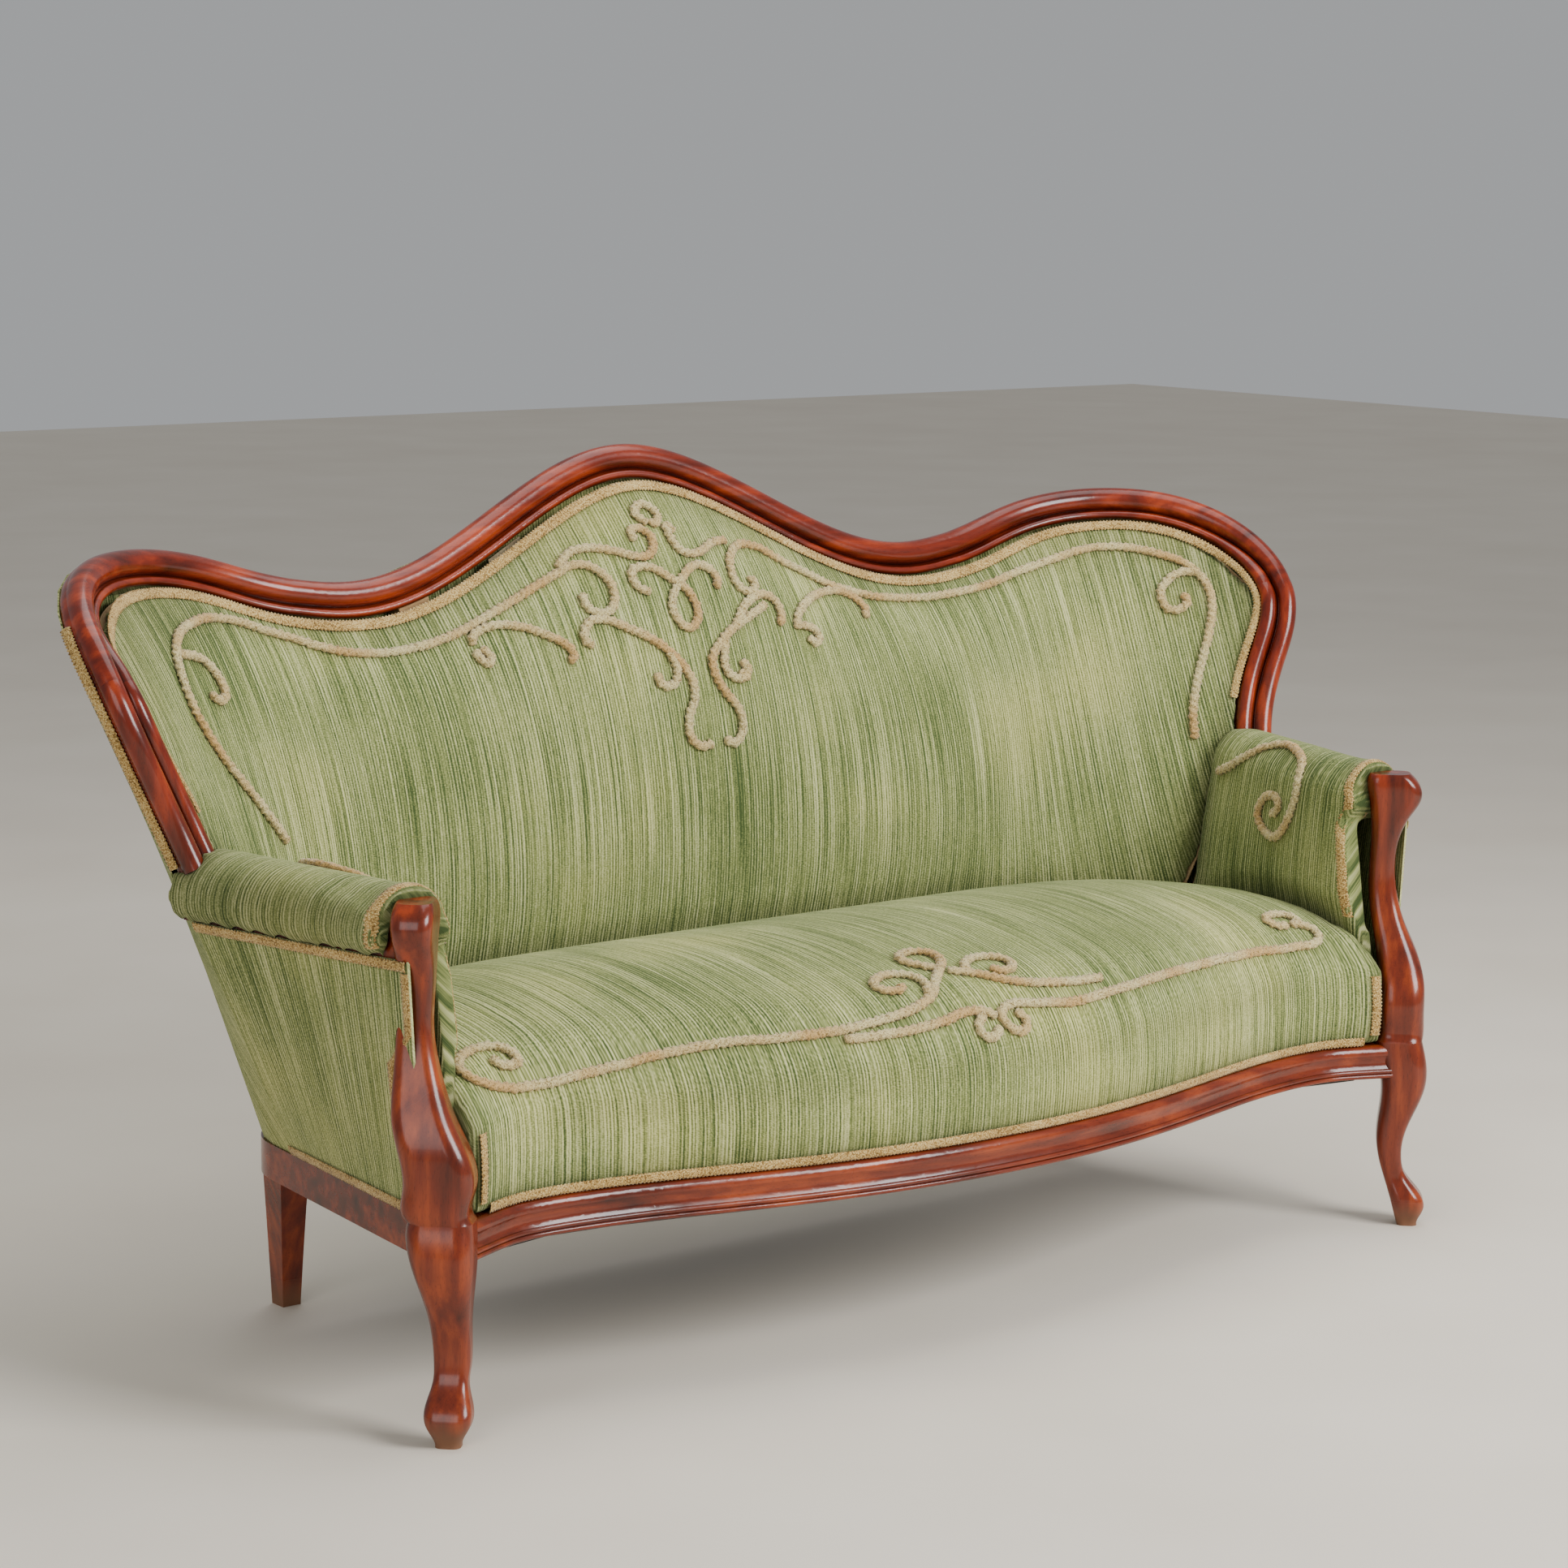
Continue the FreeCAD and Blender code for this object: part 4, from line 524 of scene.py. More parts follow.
def new_piece(name: str, bm: bmesh.types.BMesh, material: bpy.types.Material,
              nodes: Iterable[str] = ()) -> bpy.types.Object:
    """Make a piece of a finished bmesh, at the origin and riding on the sofa.

    Args:
        name: Name of the piece.
        bm: Its mesh, freed afterwards.
        material: Its finish.
        nodes: Nodes that it stands for.

    Returns:
        The piece.
    """
    mesh = bpy.data.meshes.new(name)
    bm.to_mesh(mesh)
    bm.free()
    return dress(bpy.data.objects.new(name, mesh), material, nodes)


def dress(piece: bpy.types.Object, material: bpy.types.Material,
          nodes: Iterable[str] = ()) -> bpy.types.Object:
    """Give a piece its finish and its body, and hide the nodes that it stands for.

    Args:
        piece: The piece.
        material: Its finish.
        nodes: Nodes that it stands for.

    Returns:
        The piece.
    """
    if piece.name not in bpy.context.scene.collection.objects:
        bpy.context.scene.collection.objects.link(piece)
    piece.data.materials.clear()
    piece.data.materials.append(material)
    piece.data.polygons.foreach_set("use_smooth", [True] * len(piece.data.polygons))
    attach(piece, "root")
    if nodes:
        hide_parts(*nodes)
    log.info("%s: %d faces", piece.name, len(piece.data.polygons))
    return piece


def merged_copy(names: Iterable[str]) -> bmesh.types.BMesh:
    """One merged mesh of several nodes.

    Args:
        names: The nodes.

    Returns:
        The mesh, to be freed by whoever takes it.
    """
    bm = bmesh.new()
    for name in names:
        bm.from_mesh(frame["nodes"][name].data)
    bmesh.ops.remove_doubles(bm, verts=bm.verts, dist=1e-5)
    return bm


def baked(piece: bpy.types.Object) -> None:
    """Apply a piece's modifiers.

    Args:
        piece: The piece, whose mesh is exchanged.
    """
    depsgraph = bpy.context.evaluated_depsgraph_get()
    mesh = bpy.data.meshes.new_from_object(piece.evaluated_get(depsgraph))
    piece.modifiers.clear()
    piece.data = mesh


def coordinates(mesh: bpy.types.Mesh) -> np.ndarray:
    """A mesh's points as rows.

    Args:
        mesh: The mesh.

    Returns:
        One row of three for each vertex.
    """
    flat = np.empty(len(mesh.vertices) * 3)
    mesh.vertices.foreach_get("co", flat)
    return flat.reshape(-1, 3)


def lay_fabric(mesh: bpy.types.Mesh, rule: Callable[[Vector], tuple[float, float]]) -> None:
    """Write the fabric map of a mesh, in metres of cloth.

    Args:
        mesh: The mesh.
        rule: Gives across and along for a point.
    """
    values = np.array([rule(vertex.co) for vertex in mesh.vertices])
    loops = np.empty(len(mesh.loops), dtype=int)
    mesh.loops.foreach_get("vertex_index", loops)
    layer = mesh.uv_layers.get("fabric") or mesh.uv_layers.new(name="fabric")
    layer.data.foreach_set("uv", values[loops].ravel())


def cloth_rule(weave: Weave) -> Callable[[Vector], tuple[float, float]]:
    """The rule that lays the striped velvet on a kind of piece.

    Args:
        weave: Which way the stripes run.

    Returns:
        A rule that gives across and along for a point.
    """
    if weave is Weave.BACK:
        return lambda point: (BACK.length_at(point), point.z)
    if weave is Weave.SEAT:
        return lambda point: (point.x, point.y - point.z)
    return lambda point: (point.y, point.z - abs(point.x))


@dataclass
class SoftPad:
    """A stuffed velvet pad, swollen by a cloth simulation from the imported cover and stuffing."""

    name: str
    nodes: tuple[str, ...]
    weave: Weave
    fill: float = 0.8
    voxel: float = 0.010
    cap: float = 0.005
    pressure: float = 4.0
    # distance from other parts over which the painted seam shade fades out
    seam_shade_reach: float = 0.05
    against: tuple[str, ...] = ()
    steps: int = 20

    def build(self, material: bpy.types.Material) -> bpy.types.Object:
        """Make the pad.

        Args:
            material: Its velvet.

        Returns:
            The piece.
        """
        mesh = bpy.data.meshes.new(self.name)
        bm = merged_copy(self.nodes)
        bm.to_mesh(mesh)
        bm.free()
        piece = bpy.data.objects.new(self.name, mesh)
        bpy.context.scene.collection.objects.link(piece)
        remesh = piece.modifiers.new("even", "REMESH")
        remesh.mode, remesh.voxel_size = "VOXEL", self.voxel
        baked(piece)
        if self.against:
            self.lean(piece)
        near = node_bvh([name for name in frame["nodes"]
                         if name not in self.nodes and "gimp" not in name and "scroll" not in name])
        rest = coordinates(piece.data)
        gaps = np.array([near.find_nearest(Vector(p))[3] or 1.0 for p in rest])
        self.swell(piece, rest, np.clip((gaps - 0.003) / 0.03, 0.0, 1.0))
        # painted shade: closeness to other parts, by which the velvet is darkened
        seam = piece.data.attributes.new("seam", "FLOAT", "POINT")
        seam.data.foreach_set("value", np.clip(gaps / self.seam_shade_reach, 0.0, 1.0).astype(np.float32))
        lay_fabric(piece.data, cloth_rule(self.weave))
        smooth = piece.modifiers.new("smooth", "SUBSURF")
        smooth.levels = smooth.render_levels = 1
        dress(piece, material, self.nodes)
        return piece

    def lean(self, piece: bpy.types.Object) -> None:
        """Push the pad's front end up to the wood that it is fastened to.

        Args:
            piece: The pad.
        """
        wood = node_bvh(self.against)
        rows = coordinates(piece.data)
        front = rows[:, 1].min()
        ends = [index for index, row in enumerate(rows) if row[1] < front + 0.006]
        gaps: dict[int, list[float]] = {}
        for index in ends:
            gap = wood.ray_cast(Vector(rows[index]), Vector((0.0, -1.0, 0.0)), 0.05)[3]
            if gap is not None:
                gaps.setdefault(round(rows[index][2] / 0.02), []).append(gap)
        heights = sorted(gaps)
        if not heights:
            return
        middles = [float(np.median(gaps[height])) for height in heights]
        reach = np.interp(rows[:, 2], [height * 0.02 for height in heights], middles)
        share = np.clip((front + 0.06 - rows[:, 1]) / 0.05, 0.0, 1.0)
        rows[:, 1] -= share * share * (3.0 - 2.0 * share) * np.maximum(reach - 0.0006, 0.0)
        piece.data.vertices.foreach_set("co", rows.ravel())
        piece.data.update()
        log.info("%s leans by up to %.1f mm", piece.name, 1000.0 * float(reach.max()))

    def swell(self, piece: bpy.types.Object, rest: np.ndarray, freedom: np.ndarray) -> None:
        """Blow the pad up a little.

        Args:
            piece: The pad.
            rest: Its points before.
            freedom: How much of the cap each point may move, nought where the pad meets other parts.
        """
        cloth = piece.modifiers.new("swell", "CLOTH")
        cloth.settings.use_pressure = True
        cloth.settings.uniform_pressure_force = self.pressure
        cloth.settings.effector_weights.gravity = 0.0
        scene = bpy.context.scene
        began = time.time()
        for number in range(1, self.steps + 1):
            scene.frame_set(number)
        baked(piece)
        log.info("%s swollen in %.0f s", piece.name, time.time() - began)
        scene.frame_set(1)
        moved = coordinates(piece.data) - rest
        size = np.linalg.norm(moved, axis=1, keepdims=True) + 1e-9
        moved *= np.minimum(1.0, self.cap / size) * freedom[:, None]
        piece.data.vertices.foreach_set("co", (rest + moved).ravel())
        piece.data.update()


def tree_of(piece: bpy.types.Object) -> BVHTree:
    """Search tree over a piece as it is rendered."""
    return BVHTree.FromObject(piece, bpy.context.evaluated_depsgraph_get())


def smooth_path(points: Iterable[tuple], step: float, scale: float = 1.0) -> list[tuple[float, float]]:
    """Even points along a smooth curve through the given points.

    Args:
        points: The curve's points.
        step: Distance between the points that come back.
        scale: Length of one unit of the first coordinate.

    Returns:
        The even points.
    """
    p = np.array(points, dtype=float) * (scale, 1.0)
    p = np.vstack([2 * p[0] - p[1], p, 2 * p[-1] - p[-2]])
    fine = []
    for a, b, c, d in zip(p, p[1:], p[2:], p[3:]):
        for t in np.linspace(0.0, 1.0, 24, endpoint=False):
            fine.append(0.5 * ((2 * b) + (c - a) * t + (2 * a - 5 * b + 4 * c - d) * t ** 2
                               + (3 * b - a - 3 * c + d) * t ** 3))
    fine.append(p[-2])
    line = np.array(fine)
    run = np.concatenate([[0.0], np.cumsum(np.linalg.norm(np.diff(line, axis=0), axis=1))])
    even = np.linspace(0.0, run[-1], max(int(run[-1] / step), 4))
    return [(np.interp(s, run, line[:, 0]) / scale, np.interp(s, run, line[:, 1])) for s in even]


def level(points: list[Vector], window: int) -> list[Vector]:
    """Points averaged with their neighbours.

    Args:
        points: The points.
        window: Odd number of neighbours, itself included.

    Returns:
        As many points.
    """
    half = window // 2
    rows = np.pad(np.array(points), ((half, half), (0, 0)), mode="edge")
    kernel = np.ones(window) / window
    smooth = np.stack([np.convolve(rows[:, axis], kernel, mode="valid") for axis in range(3)], axis=1)
    return [Vector(row) for row in smooth]


def run_lengths(points: list[Vector]) -> list[float]:
    """Length of the line of points up to each of them."""
    return [0.0] + list(accumulate((b - a).length for a, b in zip(points, points[1:])))


def band(run: list[float], across: int, width: float) -> tuple[bmesh.types.BMesh, list[tuple]]:
    """A flat grid to be bent along a line, with its fabric map in metres.

    Args:
        run: Length of the line up to each row.
        across: Faces across the band.
        width: Width of the cloth.

    Returns:
        The mesh, and each vertex with its row and its share across.
    """
    last = len(run) - 1
    bm = bmesh.new()
    bmesh.ops.create_grid(bm, x_segments=last, y_segments=across, size=1.0)
    uv = bm.loops.layers.uv.new("fabric")
    for face in bm.faces:
        for loop in face.loops:
            row = round((loop.vert.co.x + 1.0) / 2.0 * last)
            loop[uv].uv = (run[row], (loop.vert.co.y + 1.0) / 2.0 * width)
    places = [(vertex, round((vertex.co.x + 1.0) / 2.0 * last), (vertex.co.y + 1.0) / 2.0)
              for vertex in bm.verts]
    return bm, places


@dataclass
class Ribbon:
    """A strip between two edges, with scalloped sides, such as gimp braid."""

    name: str
    near: list[Vector]
    far: list[Vector]
    lift: list[Vector]
    scallop: float = 0.0052
    spread: float = 1.04
    swing: float = 0.13
    rise: float = 0.0016
    root: float = 0.0004
    across: int = 6

    def build(self, material: bpy.types.Material, nodes: Iterable[str] = ()) -> bpy.types.Object:
        """Make the strip.

        Args:
            material: Its finish.
            nodes: Nodes that it stands for.

        Returns:
            The piece.
        """
        half = len(self.near) // 2
        run = run_lengths(self.near)
        bm, places = band(run, self.across, (self.far[half] - self.near[half]).length)
        for vertex, i, share in places:
            wave = math.sin(2.0 * math.pi * run[i] / self.scallop)
            place = 0.5 + (share - 0.5) * (self.spread + self.swing * wave)
            hump = math.sin(math.pi * share) ** 0.6
            ridge = 0.25 * math.cos(6.0 * math.pi * share) * (0.6 + 0.4 * wave)
            height = self.rise * (hump + ridge) + self.root
            vertex.co = self.near[i].lerp(self.far[i], place) + self.lift[i] * height
        bmesh.ops.recalc_face_normals(bm, faces=bm.faces)
        bm.faces.ensure_lookup_table()
        if bm.faces[len(bm.faces) // 2].normal.dot(self.lift[half]) < 0.0:
            bmesh.ops.reverse_faces(bm, faces=bm.faces)
        piece = new_piece(self.name, bm, material, nodes)
        thick = piece.modifiers.new("thick", "SOLIDIFY")
        thick.thickness, thick.offset = 0.0012, -1.0
        return piece


def strip_of(name: str, rows: list[list[Hit]]) -> Ribbon:
    """A braid through pairs of hits, without the rows that missed.

    Args:
        name: Name of the braid.
        rows: Two hits each, with point, normal and outward direction.

    Returns:
        The braid.
    """
    full = [row for row in rows if None not in row]
    near, far = (level([row[edge][0] for row in full], 9) for edge in (0, 1))
    return Ribbon(name, near, far, [row[0][2] for row in full])


@dataclass
class Cord:
    """Two-ply chenille cord along points of a pad's surface."""

    name: str
    runs: list[tuple[list[Vector], list[Vector]]]
    radius: float = 0.0062
    flat: float = 0.72
    around: int = 12
    twist: float = 0.021
    pile: float = 0.24

    def build(self, material: bpy.types.Material, nodes: Iterable[str] = ()) -> bpy.types.Object:
        """Make the cord.

        Args:
            material: Its finish.
            nodes: Nodes that it stands for.

        Returns:
            The piece.
        """
        whole = bmesh.new()
        chance = np.random.default_rng(7)
        for centres, normals in self.runs:
            tube = self.tube(centres, normals, chance)
            scrap = bpy.data.meshes.new("run")
            tube.to_mesh(scrap)
            tube.free()
            whole.from_mesh(scrap)
            bpy.data.meshes.remove(scrap)
        return new_piece(self.name, whole, material, nodes)

    def tube(self, centres: list[Vector], normals: list[Vector],
             chance: np.random.Generator) -> bmesh.types.BMesh:
        """One run of the cord as a closed tube.

        Args:
            centres: Points on the surface.
            normals: The surface's normals there.
            chance: Seeded random numbers for the fuzz.

        Returns:
            Its mesh.
        """
        count = len(centres)
        run = run_lengths(centres)
        bm, places = band(run, self.around, 2.0 * math.pi * self.radius)
        fuzz = chance.uniform(-self.pile, self.pile, (count, self.around))
        for vertex, i, share in places:
            j = round(share * self.around) % self.around
            angle = 2.0 * math.pi * j / self.around
            ahead = (centres[min(i + 1, count - 1)] - centres[max(i - 1, 0)]).normalized()
            up = normals[i]
            side = ahead.cross(up).normalized()
            ends = min(min(i, count - 1 - i) / 3.0, 1.0)
            lobes = 1.0 + 0.16 * math.cos(2.0 * (angle - 2.0 * math.pi * run[i] / self.twist)) + fuzz[i, j]
            size = self.radius * lobes * (0.35 + 0.65 * math.sqrt(ends))
            centre = centres[i] + up * (self.radius * self.flat * 0.85)
            vertex.co = centre + side * (math.cos(angle) * size) + up * (math.sin(angle) * size * self.flat)
        bmesh.ops.remove_doubles(bm, verts=bm.verts, dist=1e-6)
        bmesh.ops.holes_fill(bm, edges=[edge for edge in bm.edges if edge.is_boundary])
        bmesh.ops.recalc_face_normals(bm, faces=bm.faces)
        return bm


@dataclass
class Projector:
    """Drops flat routes on a pad's face."""

    tree: BVHTree

    def drop(self, origin: Vector, direction: Vector) -> Optional[tuple[Vector, Vector]]:
        """Where a ray meets the surface.

        Args:
            origin: Start of the ray.
            direction: Its direction.

        Returns:
            The point and its outward normal, or nothing.
        """
        hit, normal, _, _ = self.tree.ray_cast(origin, direction)
        if hit is None:
            return None
        return hit, (normal if normal.dot(direction) < 0.0 else -normal)

    def hits(self, starts: Iterable[Vector], out: Vector) -> list[Hit]:
        """Hits of rays that come in against the outward direction, each with that direction."""
        found = [self.drop(start, -out) for start in starts]
        return [hit and hit + (out,) for hit in found]

    def route(self, points: Iterable[tuple], ray: Callable[[float, float], tuple[Vector, Vector]],
              scale: float = 1.0, step: float = 0.0016) -> tuple[list[Vector], list[Vector]]:
        """Points and smoothed normals of a route on the pad.

        Args:
            points: The route's points.
            ray: Gives the ray through a flat point.
            scale: Length of one unit of the first coordinate.
            step: Distance between the points.

        Returns:
            Points and normals.
        """
        found = [self.drop(*ray(a, b)) for a, b in smooth_path(points, step, scale)]
        found = [pair for pair in found if pair is not None]
        centres, normals = (level([pair[part] for pair in found], 9) for part in (0, 1))
        return centres, [normal.normalized() for normal in normals]


@dataclass
class Back:
    """The padded serpentine back: pad, gimp along the show wood and chenille scrolls.

    Places run along the outline, from 0 at the crest to 4 at the arm, negative on the left.
    """

    gimp_gap: float = 0.002
    gimp_width: float = 0.013
    gimp_end: float = 3.84
    gimp_steps: int = 3300
    post_gimp_start: float = 2.75
    post_gimp_reach: float = 1.22
    post_gimp_steps: int = 420
    post_gimp_lift: float = 0.0012
    search: float = 0.12
    search_step: float = 0.0005
    search_range: range = range(-8, 52)
    fewest_hits: int = 8
    scrolls: dict = field(default_factory=lambda: {
        "back_scroll_left": (
            ((-1.295, 0.630), (-1.33, 0.685), (-1.37, 0.740), (-1.385, 0.790), (-1.37, 0.835),
             (-1.335, 0.871), (-1.29, 0.892), (-1.24, 0.901), (-1.18, 0.905), (-1.12, 0.898),
             (-1.04, 0.876), (-0.92, 0.849), (-0.78, 0.842), (-0.62, 0.856), (-0.45, 0.891),
             (-0.3, 0.927), (-0.25, 0.938), (-0.208, 0.934), (-0.182, 0.914),
             (-0.194, 0.887), (-0.232, 0.875), (-0.266, 0.884), (-0.262, 0.904)),
            ((-1.33, 0.871), (-1.29, 0.867), (-1.263, 0.856), (-1.256, 0.836), (-1.264, 0.818),
             (-1.288, 0.809), (-1.31, 0.822)),
            ((-0.58, 0.842), (-0.575, 0.852), (-0.547, 0.861), (-0.495, 0.867), (-0.446, 0.864),
             (-0.398, 0.853), (-0.355, 0.838), (-0.35, 0.822), (-0.372, 0.818)),
            ((-0.57, 0.842), (-0.555, 0.832), (-0.565, 0.82), (-0.585, 0.826), (-0.583, 0.84)),
        ),
        "back_scroll_centre": (
            ((-0.29, 0.934), (-0.236, 0.955), (-0.177, 0.958), (-0.13, 0.952), (-0.08, 0.944),
             (-0.045, 0.950), (-0.03, 0.968), (-0.055, 0.982), (-0.08, 0.976), (-0.07, 0.964)),
            ((-0.02, 0.985), (-0.045, 1.000), (-0.012, 1.012), (0.014, 0.998), (-0.004, 0.984),
             (-0.018, 0.992)),
            ((-0.086, 0.898), (-0.118, 0.906), (-0.122, 0.924), (-0.098, 0.932), (-0.061, 0.930),
             (-0.03, 0.917), (0.0, 0.906), (0.02, 0.888), (0.022, 0.866), (0.003, 0.852), (-0.024, 0.850),
             (-0.043, 0.864), (-0.043, 0.884), (-0.016, 0.903), (0.01, 0.915), (0.044, 0.928),
             (0.08, 0.928), (0.104, 0.918), (0.106, 0.902), (0.092, 0.898)),
            ((-0.285, 0.835), (-0.302, 0.838), (-0.302, 0.852), (-0.271, 0.867), (-0.229, 0.867),
             (-0.187, 0.856), (-0.138, 0.842), (-0.095, 0.824), (-0.06, 0.801), (-0.043, 0.778),
             (-0.049, 0.756), (-0.073, 0.735), (-0.082, 0.709), (-0.054, 0.693), (-0.01, 0.696)),
            ((-0.097, 0.822), (-0.08, 0.802), (-0.09, 0.783), (-0.12, 0.775), (-0.146, 0.786),
             (-0.13, 0.794)),
            ((0.238, 0.871), (0.176, 0.858), (0.107, 0.842), (0.06, 0.825), (0.029, 0.807), (0.027, 0.788),
             (0.046, 0.765), (0.076, 0.744), (0.091, 0.721), (0.077, 0.699), (0.045, 0.692), (0.03, 0.704)),
            ((0.085, 0.832), (0.066, 0.808), (0.065, 0.789), (0.09, 0.778), (0.128, 0.780), (0.128, 0.797),
             (0.108, 0.794)),
            ((0.105, 0.79), (0.118, 0.78), (0.13, 0.79), (0.118, 0.8)),
        ),
        "back_scroll_right": (
            ((0.2, 0.904), (0.222, 0.903), (0.206, 0.888), (0.172, 0.894), (0.158, 0.914), (0.176, 0.938),
             (0.222, 0.950), (0.284, 0.942), (0.341, 0.923), (0.41, 0.904), (0.48, 0.885), (0.555, 0.872),
             (0.65, 0.860), (0.777, 0.854), (0.89, 0.856), (1.0, 0.864), (1.08, 0.880), (1.17, 0.897),
             (1.22, 0.907), (1.28, 0.912), (1.34, 0.910), (1.395, 0.902), (1.445, 0.891), (1.476, 0.876),
             (1.5, 0.857), (1.512, 0.830), (1.509, 0.790), (1.495, 0.740), (1.487, 0.700), (1.486, 0.673),
             (1.493, 0.639)),
            ((1.48, 0.876), (1.441, 0.876), (1.412, 0.861), (1.403, 0.845), (1.42, 0.824), (1.449, 0.824),
             (1.463, 0.838), (1.443, 0.845)),
            ((0.039, 0.971), (0.02, 0.985), (0.022, 0.959), (0.044, 0.946), (0.085, 0.945), (0.133, 0.956),
             (0.185, 0.957)),
            ((0.115, 0.842), (0.17, 0.873), (0.231, 0.884), (0.27, 0.872), (0.275, 0.85), (0.255, 0.843)),
            ((0.316, 0.832), (0.334, 0.854), (0.402, 0.873), (0.488, 0.876), (0.55, 0.866), (0.58, 0.846),
             (0.56, 0.838)),
            ((0.325, 0.838), (0.36, 0.835), (0.385, 0.822), (0.365, 0.812), (0.345, 0.824)),
        ),
    })

    def build(self, finishes: dict[str, bpy.types.Material]) -> None:
        """Make every piece of the back.

        Args:
            finishes: Materials by finish.
        """
        pad = SoftPad("back_pad", ("back_cover", "back_stuffing"), Weave.BACK).build(finishes["velvet"])
        on_pad = Projector(tree_of(pad))
        self.gimp(finishes["gimp"])
        for name, routes in self.scrolls.items():
            runs = [on_pad.route(route, self.ray, BACK.tub_start) for route in routes]
            Cord(name + "_cord", runs).build(finishes["chenille"], [name])

    @staticmethod
    def ray(place: float, z: float) -> tuple[Vector, Vector]:
        """Ray from the front onto the pad at a column's place and a height."""
        foot, forward = BACK.column(place, z)
        return foot + forward * 0.3, -forward

    def gimp(self, material: bpy.types.Material) -> None:
        """The braid beside the show wood and the one behind the posts.

        Args:
            material: The braid's finish.
        """
        strip = Projector(node_bvh(["back_gimp"]))
        inner = BACK.wood_width + self.gimp_gap
        near, far, lift = [], [], []
        for number in range(self.gimp_steps + 1):
            place = -self.gimp_end + 2.0 * self.gimp_end * number / self.gimp_steps
            origin, inward, forward = BACK.frame_at(place)
            start = origin + forward * self.search
            found = [strip.drop(start + inward * (inner + self.search_step * step), -forward)
                     for step in self.search_range]
            hits = [hit for hit in found if hit]
            if len(hits) < self.fewest_hits:
                continue
            near.append(hits[0][0])
            far.append(hits[-1][0])
            lift.append(hits[len(hits) // 2][1])
        lift = [normal.normalized() for normal in level(lift, 25)]
        Ribbon("back_gimp_braid", level(near, 15), level(far, 15), lift).build(material, ["back_gimp"])
        for side in Side:
            self.post_gimp(side, material)

    def post_gimp(self, side: Side, material: bpy.types.Material) -> None:
        """The braid behind a post, on the outer edge of the back.

        Args:
            side: Which post.
            material: The braid's finish.
        """
        near, far, lift = [], [], []
        for number in range(self.post_gimp_steps):
            share = number / (self.post_gimp_steps - 1)
            place = side.value * (self.post_gimp_start + self.post_gimp_reach * share)
            origin, inward, forward = BACK.frame_at(place)
            behind = BACK.wood_back + self.gimp_gap
            base = origin - inward * self.post_gimp_lift
            near.append(base - forward * behind)
            far.append(base - forward * (behind - self.gimp_width))
            lift.append(-inward)
        braid = Ribbon(side.node("outer_post_braid"), near, far, lift)
        braid.build(material, [side.node("outer_post_gimp")])


